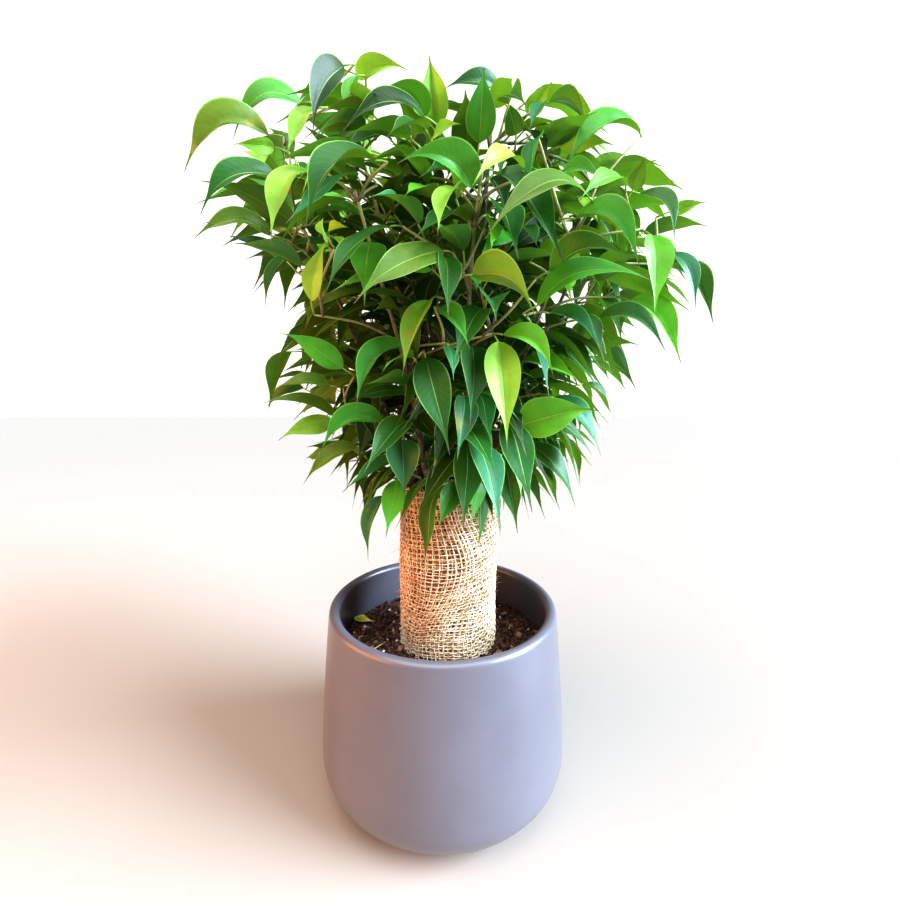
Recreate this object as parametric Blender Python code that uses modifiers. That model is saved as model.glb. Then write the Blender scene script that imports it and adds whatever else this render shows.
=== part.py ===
"""A young weeping fig: a bundle of cuttings in a jute sleeve, standing in potting soil in a glazed pot.

The origin is the middle of the pot's foot, +Z is up and -Y is the side that faces the viewer.
Lengths are in millimetres, and every mesh is made in metres by MM.
"""
import math
import random
from collections import namedtuple

import bpy
from mathutils import Matrix, Vector
from mathutils.bvhtree import BVHTree

MM = 0.001
SEED = 9

# Pot: a glazed cover pot with a round lip, widest low down
POT_HEIGHT = 113.0
POT_FOOT_RADIUS = 33.0
POT_BELLY_RADIUS = 75.0
POT_BELLY_HEIGHT = 25.0
POT_LIP_RADIUS = 3.2
POT_MOUTH_RADIUS = 62.5
POT_FLOOR = 8.0
POT_CORNER_POWER = 2.15
POT_TAPER_POWER = 1.35
POT_SIDES = 32
POT_WALL = 2 * POT_LIP_RADIUS
POT_LIP_HEIGHT = POT_HEIGHT - POT_LIP_RADIUS
POT_LIP_OUTER = POT_MOUTH_RADIUS + POT_WALL

# Soil: a low mound round the sleeve
SOIL_LEVEL = 85.0
SOIL_MOUND = 6.0
SOIL_MOUND_REACH = 42.0
SOIL_CRUMB = 1.1
SOIL_RINGS = 4
SOIL_SIDES = 20
GAP = 0.35
CUTTER_TOP = 100.0

# Sleeve: an open jute net wound round the stems
SLEEVE_X = 4.0
SLEEVE_RADIUS = 28.6
SLEEVE_WALL = 1.6
SLEEVE_FOOT = 80.0
SLEEVE_TOP = 186.0
SLEEVE_WARPS = 16
SLEEVE_WEFTS = 9
THREAD_RELIEF = 0.9
WEFT_SLANT = 1.6
WEFT_TURN = 0.7

# Stems: rings of thin cuttings, upright in the sleeve and spreading above it
StemRing = namedtuple("StemRing", "count radius turn reach top")
STEM_RINGS = (
    StemRing(count=8, radius=21.5, turn=0.2, reach=0.62, top=332.0),
    StemRing(count=4, radius=11.0, turn=0.6, reach=0.42, top=368.0),
    StemRing(count=1, radius=0.0, turn=3.0, reach=0.10, top=372.0),
)
STEM_FOOT = 74.0
STEM_RADIUS = 2.3
STEM_TIP_RADIUS = 1.0
STEM_SIDES = 5
STEM_STATIONS = 8
STEM_SPREADS_AT = 178.0
STEM_FLARE = 1.25
STEM_WAVE = 2.2
STEM_WAVE_RATE = 5.0
STEM_UNEVEN = 12.0
STEM_UNEVEN_RATE = 2.7
HOLE_SIDES = 6

# Twigs: each runs on into the stalk of its last leaf
TWIG_RADIUS = 1.15
TWIG_TIP_RADIUS = 0.8
TWIG_SIDES = 3
TWIG_STATIONS = (0.0, 0.5, 1.0)
TWIG_SHORTEST = 7.0
TWIG_LEAD = 4.5
TWIG_TRIES = 40
TWIG_DROP_CHARGE = 2.5
TWIG_RISE = 6.0
TWIG_ARCH = 0.45
TWIG_SPACING = 7.0

# Leaves: a folded blade with a drawn-out tip, on its own stalk
LEAF_THICKNESS = 1.3
LEAF_FOLD = 0.12
LEAF_BOW = 0.09
STALK_LENGTH = 7.0
STALK_HALF = 0.55
ROOT_SINK = 0.4
BLADE_STATIONS = ((0.0, 0.10), (0.38, 1.0), (0.80, 0.36))
LEAF_CLEARANCE = 0.45

# Crown: how far the leaves reach to the left and right at each height, as the viewer sees it
EYE = Vector((0.0, -262.0, 241.0))
OUTLINE_HEIGHTS = (140, 160, 178, 207, 234, 262, 278, 292, 312, 328, 346, 365, 387, 397, 407, 419)
OUTLINE_LEFT = (-45, -48, -62, -86, -106, -98, -88, -102, -124, -137, -138, -139, -104, -94, -74, -50)
OUTLINE_RIGHT = (25, 46, 79, 93, 106, 124, 141, 154, 153, 151, 146, 118, 108, 74, 50, -5)
CROWN_DEPTH = 0.76
CROWN_BACK = 0.92
CROWN_BASE = 190.0
CROWN_TOP = 402.0

# Leaves that show most, placed by hand where the viewer sees them on the upright plane through
# the pot's axis. Each goes back along the line of sight until nothing crosses it.
FrontLeaf = namedtuple("FrontLeaf", "x z tip_x tip_z width sag")
FRONT_LEAVES = (
    FrontLeaf(32, 269, 38, 215, 21, 0),
    FrontLeaf(-10, 260, 3, 211, 22, 0),
    FrontLeaf(0, 319, -46, 296, 18, 3),
    FrontLeaf(-7, 292, -22, 255, 13, 0),
    FrontLeaf(46, 221, 87, 231, 24, 2),
    FrontLeaf(17, 306, 50, 287, 18, 14),
    FrontLeaf(35, 273, 62, 253, 12, 10),
    FrontLeaf(17, 352, -21, 366, 17, 14),
    FrontLeaf(20, 375, 22, 411, 17, 0),
    FrontLeaf(-3, 384, -7, 417, 15, 0),
    FrontLeaf(81, 347, 29, 331, 15, 14),
    FrontLeaf(117, 327, 121, 289, 15, 0),
    FrontLeaf(-24, 212, -23, 181, 20, 0),
    FrontLeaf(-27, 188, -34, 157, 15, 0),
    FrontLeaf(-36, 224, -70, 207, 13, 12),
    FrontLeaf(-95, 379, -138, 364, 12, 13),
    FrontLeaf(-76, 395, -111, 380, 10, 12),
    FrontLeaf(-92, 358, -131, 342, 11, 9),
    FrontLeaf(-53, 413, -69, 384, 15, 8),
    FrontLeaf(-72, 360, -94, 330, 12, 9),
    FrontLeaf(-37, 366, -73, 337, 12, 12),
    FrontLeaf(-75, 292, -66, 324, 11, 0),
    FrontLeaf(-10, 388, -50, 384, 9, 8),
    FrontLeaf(-10, 388, -31, 402, 12, 8),
    FrontLeaf(44, 361, 19, 356, 8, 9),
    FrontLeaf(8, 352, -2, 331, 12, 0),
    FrontLeaf(107, 380, 69, 362, 12, 12),
    FrontLeaf(64, 373, 91, 375, 11, 2),
    FrontLeaf(105, 351, 111, 368, 10, 0),
    FrontLeaf(46, 389, 58, 405, 10, 0),
    FrontLeaf(61, 308, 102, 316, 13, 11),
    FrontLeaf(54, 289, 112, 305, 13, 12),
    FrontLeaf(74, 336, 108, 314, 12, 11),
    FrontLeaf(128, 310, 153, 283, 9, 5),
    FrontLeaf(128, 318, 143, 292, 8, 4),
    FrontLeaf(107, 292, 136, 261, 11, 4),
    FrontLeaf(89, 282, 126, 266, 9, 9),
    FrontLeaf(61, 285, 89, 267, 9, 4),
    FrontLeaf(65, 237, 92, 207, 11, 5),
    FrontLeaf(50, 210, 78, 176, 12, 5),
    FrontLeaf(37, 202, 45, 161, 15, 0),
    FrontLeaf(8, 186, -2, 161, 13, 0),
    FrontLeaf(21, 194, 17, 161, 9, 0),
    FrontLeaf(-36, 178, -45, 142, 9, 2),
    FrontLeaf(-64, 222, -95, 214, 12, 3),
    FrontLeaf(-63, 225, -105, 234, 8, 3),
    FrontLeaf(-66, 244, -97, 243, 8, 2),
    FrontLeaf(-58, 254, -90, 274, 14, 2),
    FrontLeaf(-21, 266, -48, 237, 12, 11),
    FrontLeaf(-2, 288, 14, 269, 11, 2),
    FrontLeaf(0, 317, 3, 288, 13, 0),
    FrontLeaf(109, 349, 128, 327, 9, 7),
    FrontLeaf(127, 340, 145, 345, 7, 0),
    FrontLeaf(57, 395, 77, 384, 9, 6),
    FrontLeaf(30, 400, 3, 403, 9, 3),
    FrontLeaf(40, 379, 35, 396, 11, 0),
    FrontLeaf(-46, 407, -21, 412, 10, 4),
    FrontLeaf(-96, 327, -136, 327, 9, 9),
    FrontLeaf(-85, 317, -100, 291, 8, 3),
    FrontLeaf(-29, 332, -64, 300, 9, 3),
    FrontLeaf(-92, 373, -113, 375, 8, 0),
    FrontLeaf(-51, 208, -81, 189, 9, 3),
    FrontLeaf(-69, 392, -84, 372, 8, 2),
    FrontLeaf(101, 353, 78, 348, 8, 6),
    FrontLeaf(66, 361, 88, 357, 8, 2),
)
SHOWN_SLENDER = 0.36
FRONT_DEPTH = 0.92
FRONT_BASE_DEPTH = 0.86
FRONT_LEAN_OUT = 2.0
FRONT_DEPTH_STEP = 3.0
FRONT_TRIES = 16

# Leaves that follow the rule: sprays of a few leaves on a twig, spread evenly over the crown and
# drawn in on the viewer's side, where the leaves placed by hand stand before them
SPRAYS = 72
SPRAY_TURN = 0.7548777
SPRAY_RISE = 0.5698403
SPRAY_SHELL = (0.40, 0.96)
FRONT_DRAW_IN = 0.22
SPRAY_LEAVES = (0.45, 0.80)
STEM_LEAVES = (0.56, 0.68, 0.80, 0.90, 0.97)
YOUNG_FROM = 0.7
LEAF_LENGTH = (33.0, 43.0)
YOUNG_LENGTH = (24.0, 31.0)
LEAF_SLENDER = 0.40
LEAF_SLENDER_SPREAD = (0.92, 1.08)
LEAF_BEND = (0.07, 0.15)
LEAF_SWING = (0.25, 1.1)
LEAF_ROLL = 0.5
DROOP_LOW_DOWN = 62.0
DROOP_LOST = 48.0
DROOP_SPREAD = (-24.0, 22.0)
STEM_LEAF_SWING = 1.4
TWIG_END_SWING = 0.3
LEAF_TRIES = 10
LOOK_BEHIND = 90.0

Leaf = namedtuple("Leaf", "twig root base tip face bend width")
Wood = namedtuple("Wood", "key stem path radii sides")
Grown = namedtuple("Grown", "key low high tree")


# Small tools

def clear_scene():
    """Remove every object of the open scene."""
    for item in list(bpy.data.objects):
        bpy.data.objects.remove(item, do_unlink=True)


def make_material(name, colour, roughness, metallic=0.0):
    """Return a Principled material."""
    material = bpy.data.materials.new(name)
    material.use_nodes = True
    shader = material.node_tree.nodes["Principled BSDF"]
    shader.inputs["Base Color"].default_value = (*colour, 1.0)
    shader.inputs["Roughness"].default_value = roughness
    shader.inputs["Metallic"].default_value = metallic
    return material


def make_object(name, vertices, faces, collection, material=None):
    """Return an object whose mesh holds the given millimetre points."""
    mesh = bpy.data.meshes.new(name)
    mesh.from_pydata([Vector(point) * MM for point in vertices], [], faces)
    item = bpy.data.objects.new(name, mesh)
    if material:
        mesh.materials.append(material)
    collection.objects.link(item)
    return item


def bake_modifiers(item):
    """Replace an object's mesh by what its modifiers make of it."""
    bpy.context.view_layer.update()
    shape = item.evaluated_get(bpy.context.evaluated_depsgraph_get())
    baked = bpy.data.meshes.new_from_object(shape)
    item.modifiers.clear()
    item.data = baked
    item.data.name = item.name


def turn_profile(name, profile, collection, material, closed=False, sides=POT_SIDES):
    """Return a profile of (radius, height) pairs turned about the Z axis."""
    points = [(radius, 0.0, height) for radius, height in profile]
    count = len(points)
    edges = [(i, i + 1) for i in range(count - 1)] + ([(count - 1, 0)] if closed else [])
    mesh = bpy.data.meshes.new(name)
    mesh.from_pydata([Vector(point) * MM for point in points], edges, [])
    item = bpy.data.objects.new(name, mesh)
    if material:
        mesh.materials.append(material)
    collection.objects.link(item)
    screw = item.modifiers.new("Turn", "SCREW")
    screw.steps = sides
    screw.render_steps = sides
    screw.use_merge_vertices = True
    screw.merge_threshold = 0.00005
    bake_modifiers(item)
    return item


def loft(sections, point_end=None):
    """Return the vertices and faces of a closed loft through sections of equal size."""
    count = len(sections[0])
    vertices = [point for section in sections for point in section]
    faces = [tuple(reversed(range(count)))]
    for ring in range(len(sections) - 1):
        low = ring * count
        for i in range(count):
            j = (i + 1) % count
            faces.append((low + i, low + j, low + count + j))
            faces.append((low + i, low + count + j, low + count + i))
    last = len(vertices) - count
    if point_end is None:
        faces.append(tuple(range(last, last + count)))
    else:
        vertices.append(point_end)
        faces += [(last + i, last + (i + 1) % count, len(vertices) - 1) for i in range(count)]
    return vertices, faces


def level_ring(x, y, radius, height, sides):
    """Return a level ring of points about (x, y)."""
    turns = [2 * math.pi * i / sides for i in range(sides)]
    return [Vector((x + radius * math.cos(a), y + radius * math.sin(a), height)) for a in turns]


def curve_point(start, control, end, t):
    """Return a point of the quadratic curve from start to end."""
    return start * (1 - t) ** 2 + control * (2 * t * (1 - t)) + end * t ** 2


def flat_out(point):
    """Return the level unit vector from the crown's axis towards a point."""
    out = Vector((point.x - SLEEVE_X, point.y, 0.0))
    return out.normalized() if out.length > 1.0 else Vector((0.0, -1.0, 0.0))


def interpolate(value, places, values):
    """Return the value read between hand-set places."""
    if value <= places[0]:
        return values[0]
    for i in range(1, len(places)):
        if value <= places[i]:
            share = (value - places[i - 1]) / (places[i] - places[i - 1])
            return values[i - 1] + (values[i] - values[i - 1]) * share
    return values[-1]


# Pot, soil and sleeve

def pot_radius(height):
    """Return the outer radius of the pot's wall above its belly."""
    rise = (height - POT_BELLY_HEIGHT) / (POT_LIP_HEIGHT - POT_BELLY_HEIGHT)
    return POT_BELLY_RADIUS + (POT_LIP_OUTER - POT_BELLY_RADIUS) * rise ** POT_TAPER_POWER


def corner_points(foot, belly, bottom, top, count):
    """Return the rounded lower corner from the foot's edge up to the belly."""
    points = []
    for i in range(count + 1):
        angle = math.pi / 2 * i / count
        out = math.sin(angle) ** (2 / POT_CORNER_POWER)
        up = 1 - math.cos(angle) ** (2 / POT_CORNER_POWER)
        points.append((foot + (belly - foot) * out, bottom + (top - bottom) * up))
    return points


def inside_profile(inset, top, count):
    """Return the inner wall from the axis on the floor up to a height, inset by a gap."""
    belly = pot_radius(POT_BELLY_HEIGHT) - POT_WALL - inset
    foot = POT_FOOT_RADIUS - inset
    points = [(0.0, POT_FLOOR + inset)]
    points += corner_points(foot, belly, POT_FLOOR + inset, POT_BELLY_HEIGHT + POT_WALL, 3)
    start = points[-1][1]
    for i in range(1, count + 1):
        height = start + (top - start) * i / count
        points.append((pot_radius(height) - POT_WALL - inset, height))
    return points


def build_pot(collection):
    """Build the glazed pot."""
    profile = inside_profile(0.0, POT_LIP_HEIGHT, 2)
    for i in range(1, 5):
        angle = math.pi * (1 - i / 4)
        across = POT_MOUTH_RADIUS + POT_LIP_RADIUS + POT_LIP_RADIUS * math.cos(angle)
        profile.append((across, POT_LIP_HEIGHT + POT_LIP_RADIUS * math.sin(angle)))
    for i in range(1, 3):
        height = POT_LIP_HEIGHT + (POT_BELLY_HEIGHT - POT_LIP_HEIGHT) * i / 3
        profile.append((pot_radius(height), height))
    corner = corner_points(POT_FOOT_RADIUS, POT_BELLY_RADIUS, 0.0, POT_BELLY_HEIGHT, 6)
    profile += list(reversed(corner)) + [(0.0, 0.0)]
    glaze = make_material("grey_glaze", (0.17, 0.19, 0.24), 0.38)
    turn_profile("pot", profile, collection, glaze)


def soil_height(radius):
    """Return the soil's level at a distance from the pot's axis."""
    return SOIL_LEVEL + SOIL_MOUND * math.exp(-((radius / SOIL_MOUND_REACH) ** 2))


def build_soil(collection, cutters, stems):
    """Build the soil with a groove for the sleeve's foot and a hole for each stem."""
    inset = GAP + pot_radius(SOIL_LEVEL) * (1 - math.cos(math.pi / POT_SIDES))
    edge = pot_radius(SOIL_LEVEL) - POT_WALL - inset
    side = inside_profile(inset, SOIL_LEVEL, 2)
    shares = [i / SOIL_RINGS for i in range(SOIL_RINGS)]
    surface = [(edge * share, soil_height(edge * share)) for share in shares]
    profile = surface + list(reversed(side))
    earth = make_material("potting_soil", (0.035, 0.022, 0.015), 0.95)
    soil = turn_profile("soil", profile, collection, earth, sides=SOIL_SIDES)
    for vertex in soil.data.vertices:
        x, y, z = vertex.co / MM
        radius = math.hypot(x, y)
        if z > SOIL_LEVEL - 1.0 and radius < edge - 1.0:
            crumb = math.sin(0.9 * x + 1.3) * math.sin(0.8 * y + 0.4) + math.sin(0.43 * x - 0.61 * y)
            vertex.co.z += SOIL_CRUMB * crumb * MM

    outer = (SLEEVE_RADIUS + THREAD_RELIEF + GAP) / math.cos(math.pi / SOIL_SIDES)
    inner = (SLEEVE_RADIUS - SLEEVE_WALL) * math.cos(math.pi / SLEEVE_WARPS / 2) - GAP
    low = SLEEVE_FOOT - GAP
    ring = ((inner, low), (inner, CUTTER_TOP), (outer, CUTTER_TOP), (outer, low))
    groove = turn_profile("groove_cutter", ring, cutters, None, closed=True, sides=SOIL_SIDES)
    groove.data.transform(Matrix.Translation((SLEEVE_X * MM, 0.0, 0.0)))
    hole_radius = STEM_RADIUS / math.cos(math.pi / HOLE_SIDES) + GAP
    for stem in stems:
        foot = stem.path[0]
        heights = (foot.z - GAP, CUTTER_TOP)
        hole = [level_ring(foot.x, foot.y, hole_radius, height, HOLE_SIDES) for height in heights]
        make_object(f"hole_cutter_{stem.stem:02d}", *loft(hole), cutters)
    for cutter in cutters.objects:
        cutter.hide_render = True
        cutter.display_type = "WIRE"
    cut = soil.modifiers.new("Holes", "BOOLEAN")
    cut.operation = "DIFFERENCE"
    cut.operand_type = "COLLECTION"
    cut.collection = cutters
    bake_modifiers(soil)
    for cutter in list(cutters.objects):
        bpy.data.objects.remove(cutter, do_unlink=True)


def build_sleeve(collection):
    """Build the jute sleeve: a thin tube with its net of threads raised on the outside."""
    rows = 2 * SLEEVE_WEFTS
    columns = 2 * SLEEVE_WARPS
    inner = SLEEVE_RADIUS - SLEEVE_WALL
    profile = [(inner, SLEEVE_FOOT), (inner, SLEEVE_TOP)]
    for i in range(rows + 1):
        profile.append((SLEEVE_RADIUS, SLEEVE_TOP + (SLEEVE_FOOT - SLEEVE_TOP) * i / rows))
    jute = make_material("jute", (0.62, 0.45, 0.28), 0.9)
    sleeve = turn_profile("sleeve", profile, collection, jute, closed=True, sides=columns)
    for vertex in sleeve.data.vertices:
        x, y, z = vertex.co / MM
        radius = math.hypot(x, y)
        angle = math.atan2(y, x)
        if radius > SLEEVE_RADIUS - 0.5 * SLEEVE_WALL:
            share = (z - SLEEVE_FOOT) / (SLEEVE_TOP - SLEEVE_FOOT)
            warp = math.cos(SLEEVE_WARPS * angle)
            weft = math.cos(2 * math.pi * SLEEVE_WEFTS * share)
            radius += THREAD_RELIEF * max(warp, weft)
            if 0.05 < share < 0.95:
                z += WEFT_SLANT * share * math.sin(angle + WEFT_TURN)
        vertex.co = Vector((radius * math.cos(angle) + SLEEVE_X, radius * math.sin(angle), z)) * MM


# What has grown so far

def box_of(vertices):
    """Return the lowest and highest corners of some points."""
    low = Vector([min(point[axis] for point in vertices) for axis in range(3)])
    high = Vector([max(point[axis] for point in vertices) for axis in range(3)])
    return low, high


class Crown:
    """Everything grown so far, kept so that nothing new crosses it."""

    def __init__(self):
        self.grown = []
        self.woods = []
        self.leaves = []
        self.shown = None

    def crosses(self, shape, skip=()):
        """Tell whether a shape crosses anything but the named pieces."""
        vertices, faces = shape
        low, high = box_of(vertices)
        tree = None
        for piece in self.grown:
            if piece.key in skip:
                continue
            if any(low[axis] > piece.high[axis] or high[axis] < piece.low[axis] for axis in range(3)):
                continue
            tree = tree or BVHTree.FromPolygons(vertices, faces)
            if tree.overlap(piece.tree):
                return True
        return False

    def keep(self, key, shape):
        """Remember a shape under a name."""
        vertices, faces = shape
        self.grown.append(Grown(key, *box_of(vertices), BVHTree.FromPolygons(vertices, faces)))

    def show(self):
        """Join the leaves placed so far in one tree, which later leaves must not hide."""
        vertices, faces = [], []
        for _, leaf in self.leaves:
            points, sides = leaf_shape(leaf)
            faces += [tuple(len(vertices) + i for i in side) for side in sides]
            vertices += points
        self.shown = BVHTree.FromPolygons(vertices, faces)

    def hides(self, leaf):
        """Tell whether a leaf stands before one that was placed by hand."""
        for share in (0.2, 0.4, 0.6, 0.8, 1.0):
            point = leaf.base.lerp(leaf.tip, share)
            away = (point - EYE).normalized()
            if self.shown.ray_cast(point + away, away, LOOK_BEHIND)[0] is not None:
                return True
        return False


# Wood

def frame_across(direction):
    """Return two unit vectors across a direction."""
    side = direction.cross(Vector((0.0, 0.0, 1.0)))
    if side.length < 0.05:
        side = direction.cross(Vector((1.0, 0.0, 0.0)))
    side.normalize()
    return side, side.cross(direction).normalized()


def wood_shape(wood, swell=0.0):
    """Return the vertices and faces of a stem or twig."""
    sections = []
    last = len(wood.path) - 1
    side = up = None
    for i, point in enumerate(wood.path):
        ahead = wood.path[min(i + 1, last)] - wood.path[max(i - 1, 0)]
        direction = ahead.normalized()
        if side is None:
            side, up = frame_across(direction)
        side = (side - direction * side.dot(direction)).normalized()
        up = side.cross(direction)
        radius = wood.radii[0] + (wood.radii[1] - wood.radii[0]) * i / last + swell
        turns = [2 * math.pi * k / wood.sides for k in range(wood.sides)]
        sections.append([point + side * (radius * math.cos(a)) - up * (radius * math.sin(a)) for a in turns])
    return loft(sections)


def keep_off_sleeve(crown):
    """Keep leaves and twigs off the outside of the sleeve, whose mouth stays open for the stems."""
    radius = SLEEVE_RADIUS + 2 * THREAD_RELIEF
    ends = (SLEEVE_FOOT, SLEEVE_TOP)
    vertices, faces = loft([level_ring(SLEEVE_X, 0.0, radius, z, 2 * SLEEVE_WARPS) for z in ends])
    crown.keep("sleeve", (vertices, faces[1:-1]))


def grow_stems(crown):
    """Grow the stems and return them in order."""
    number = 0
    for ring in STEM_RINGS:
        for i in range(ring.count):
            number += 1
            angle = ring.turn + 2 * math.pi * i / ring.count
            away = Vector((math.cos(angle), math.sin(angle), 0.0))
            foot = Vector((SLEEVE_X, 0.0, STEM_FOOT)) + away * ring.radius
            lift = ring.top + STEM_UNEVEN * math.sin(STEM_UNEVEN_RATE * number)
            reach = ring.reach * crown_radius(angle, lift)
            path = [foot, Vector((foot.x, foot.y, STEM_SPREADS_AT))]
            for k in range(1, STEM_STATIONS - 1):
                t = k / (STEM_STATIONS - 2)
                out = ring.radius + (reach - ring.radius) * t ** STEM_FLARE
                wave = STEM_WAVE * math.sin(STEM_WAVE_RATE * t + number)
                swing = Vector((-away.y, away.x, 0.0)) * wave
                height = STEM_SPREADS_AT + (lift - STEM_SPREADS_AT) * t
                path.append(Vector((SLEEVE_X, 0.0, height)) + away * out + swing * min(1.0, 2 * t))
            key = f"stem_{number:02d}"
            wood = Wood(key, number, path, (STEM_RADIUS, STEM_TIP_RADIUS), STEM_SIDES)
            crown.keep(key, wood_shape(wood))
            crown.woods.append(wood)
    return list(crown.woods)


def wood_places(crown):
    """Return points along all the wood above the sleeve, each with the wood it lies on."""
    places = []
    for wood in crown.woods:
        for i in range(len(wood.path) - 1):
            first, second = wood.path[i], wood.path[i + 1]
            steps = max(1, int((second - first).length / TWIG_SPACING))
            for k in range(steps):
                share = (k + 0.5) / steps
                point = first.lerp(second, share)
                if point.z > SLEEVE_TOP + 1.0:
                    places.append((point, (second - first).normalized(), wood))
    return places


def grow_shoot(crown, leaf):
    """Place a leaf on a twig that comes from the nearest wood with a clear way, and return the twig."""
    if crown.crosses(leaf_shape(leaf, LEAF_CLEARANCE)):
        return None
    leaf_key = f"leaf_{len(crown.leaves):03d}"
    end = leaf.root
    crown.keep(leaf_key, leaf_shape(leaf))

    def cost(place):
        """Return how far a place is, with a charge for one above the leaf."""
        return (end - place[0]).length + TWIG_DROP_CHARGE * max(0.0, place[0].z - end.z + TWIG_RISE)

    for point, along, parent in sorted(wood_places(crown), key=cost)[:TWIG_TRIES]:
        length = (end - point).length
        if length < TWIG_SHORTEST:
            continue
        heading = (along * 0.5 + (end - point).normalized()).normalized()
        control = point + heading * (TWIG_ARCH * length)
        path = [curve_point(point, control, end, t) for t in TWIG_STATIONS]
        key = f"twig_{len(crown.woods):03d}"
        twig = Wood(key, parent.stem, path, (TWIG_RADIUS, TWIG_TIP_RADIUS), TWIG_SIDES)
        lead = path[0].lerp(path[1], min(0.9, TWIG_LEAD / (path[1] - path[0]).length))
        free = twig._replace(path=[lead] + path[1:])
        if not crown.crosses(wood_shape(free, LEAF_CLEARANCE), (leaf_key,)):
            crown.keep(key, wood_shape(twig))
            crown.woods.append(twig)
            crown.leaves.append((twig.stem, leaf._replace(twig=path[:-1])))
            return twig
    crown.grown.pop()
    return None


# Leaves

def leaf_shape(leaf, swell=0.0, from_stalk=0.0):
    """Return the vertices and faces of a leaf with its stalk and twig, for a test or for the model."""
    line = leaf.tip - leaf.base
    woody = list(leaf.twig) + [leaf.root.lerp(leaf.base, from_stalk), leaf.base]
    side, _ = blade_frame((line + leaf.bend * 4).normalized(), leaf.face)
    sections = []
    for i in range(len(woody) - 2, -1, -1):
        direction = (woody[i + 1] - woody[max(i - 1, 0)]).normalized()
        side = (side - direction * side.dot(direction)).normalized()
        up = side.cross(direction)
        half = (TWIG_RADIUS if i + 2 < len(woody) else STALK_HALF) + swell
        upper = woody[i] + up * (0.5 * half)
        sections.insert(0, [upper - side * half, upper + side * half, woody[i] - up * half])
    for t, spread in BLADE_STATIONS:
        centre = leaf.base + line * t + leaf.bend * (4 * t * (1 - t))
        direction = (line + leaf.bend * (4 - 8 * t)).normalized()
        side, up = blade_frame(direction, leaf.face)
        half = max(STALK_HALF, 0.5 * leaf.width * spread) + swell
        thick = LEAF_THICKNESS * (1.0 - 0.35 * t) + swell
        lift = up * (half * LEAF_FOLD + swell)
        sections.append([centre - side * half + lift, centre + side * half + lift, centre - up * thick])
    return loft(sections, leaf.tip)


def blade_frame(direction, face):
    """Return the unit vectors across a blade and out of its upper face."""
    side = direction.cross(face).normalized()
    return side, side.cross(direction).normalized()


def view_place(x, z, depth):
    """Return the point at a depth that the viewer sees at (x, z) on the plane through the axis."""
    seen = Vector((x, 0.0, z))
    return EYE + (seen - EYE) * ((depth - EYE.y) / -EYE.y)


def seen_place(point):
    """Return where the viewer sees a point on the upright plane through the axis."""
    share = -EYE.y / (point.y - EYE.y)
    return EYE + (point - EYE) * share


def front_depth(x, z):
    """Return the depth of the crown's front where the viewer sees (x, z)."""
    left = interpolate(z, OUTLINE_HEIGHTS, OUTLINE_LEFT)
    right = interpolate(z, OUTLINE_HEIGHTS, OUTLINE_RIGHT)
    half = 0.5 * (right - left)
    across = min(1.0, abs(x - 0.5 * (left + right)) / half)
    return -CROWN_DEPTH * half * math.sqrt(1.0 - across ** 2) * FRONT_DEPTH


def shown_leaf(entry, shift):
    """Return the leaf of a hand-set entry, pushed back by a shift."""
    middle = front_depth(0.5 * (entry.x + entry.tip_x), 0.5 * (entry.z + entry.tip_z)) + shift
    base = view_place(entry.x, entry.z, FRONT_BASE_DEPTH * middle + FRONT_LEAN_OUT)
    tip = view_place(entry.tip_x, entry.tip_z, middle - FRONT_LEAN_OUT)
    scale = (middle - EYE.y) / -EYE.y
    line = (tip - base).normalized()
    to_eye = (EYE - base.lerp(tip, 0.5)).normalized()
    towards = (to_eye - line * to_eye.dot(line)).normalized()
    beside = line.cross(towards).normalized()
    if beside.z < 0 or (abs(beside.z) < 0.2 and beside.dot(flat_out(tip)) < 0):
        beside = -beside
    width = entry.width * scale
    full = max(width, SHOWN_SLENDER * (tip - base).length)
    lean = min(1.0, width / full)
    face = towards * lean + beside * math.sqrt(1.0 - lean ** 2)
    bend = beside * (entry.sag * scale) + face * (LEAF_BOW * (tip - base).length)
    into = (line * 0.7 + flat_out(base) * 0.4 + Vector((0.0, 0.0, 0.25))).normalized()
    return Leaf((), base - into * STALK_LENGTH, base, tip, face.normalized(), bend, full)


def grow_front_leaves(crown):
    """Place the leaves that show most, each on a twig of its own."""
    for entry in FRONT_LEAVES:
        for attempt in range(FRONT_TRIES):
            if grow_shoot(crown, shown_leaf(entry, attempt * FRONT_DEPTH_STEP)):
                break


def crown_radius(angle, height):
    """Return how far the crown reaches from its axis in a direction at a height."""
    left = interpolate(height, OUTLINE_HEIGHTS, OUTLINE_LEFT)
    right = interpolate(height, OUTLINE_HEIGHTS, OUTLINE_RIGHT)
    across = right - SLEEVE_X if math.cos(angle) > 0 else SLEEVE_X - left
    deep = (CROWN_DEPTH if math.sin(angle) < 0 else CROWN_BACK) * 0.5 * (right - left)
    return 1.0 / math.hypot(math.cos(angle) / max(across, 8.0), math.sin(angle) / max(deep, 8.0))


def inside_outline(point):
    """Tell whether the viewer sees a point within the crown's outline."""
    seen = seen_place(point)
    if not OUTLINE_HEIGHTS[0] < seen.z < OUTLINE_HEIGHTS[-1]:
        return False
    left = interpolate(seen.z, OUTLINE_HEIGHTS, OUTLINE_LEFT)
    right = interpolate(seen.z, OUTLINE_HEIGHTS, OUTLINE_RIGHT)
    return left < seen.x < right


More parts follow.
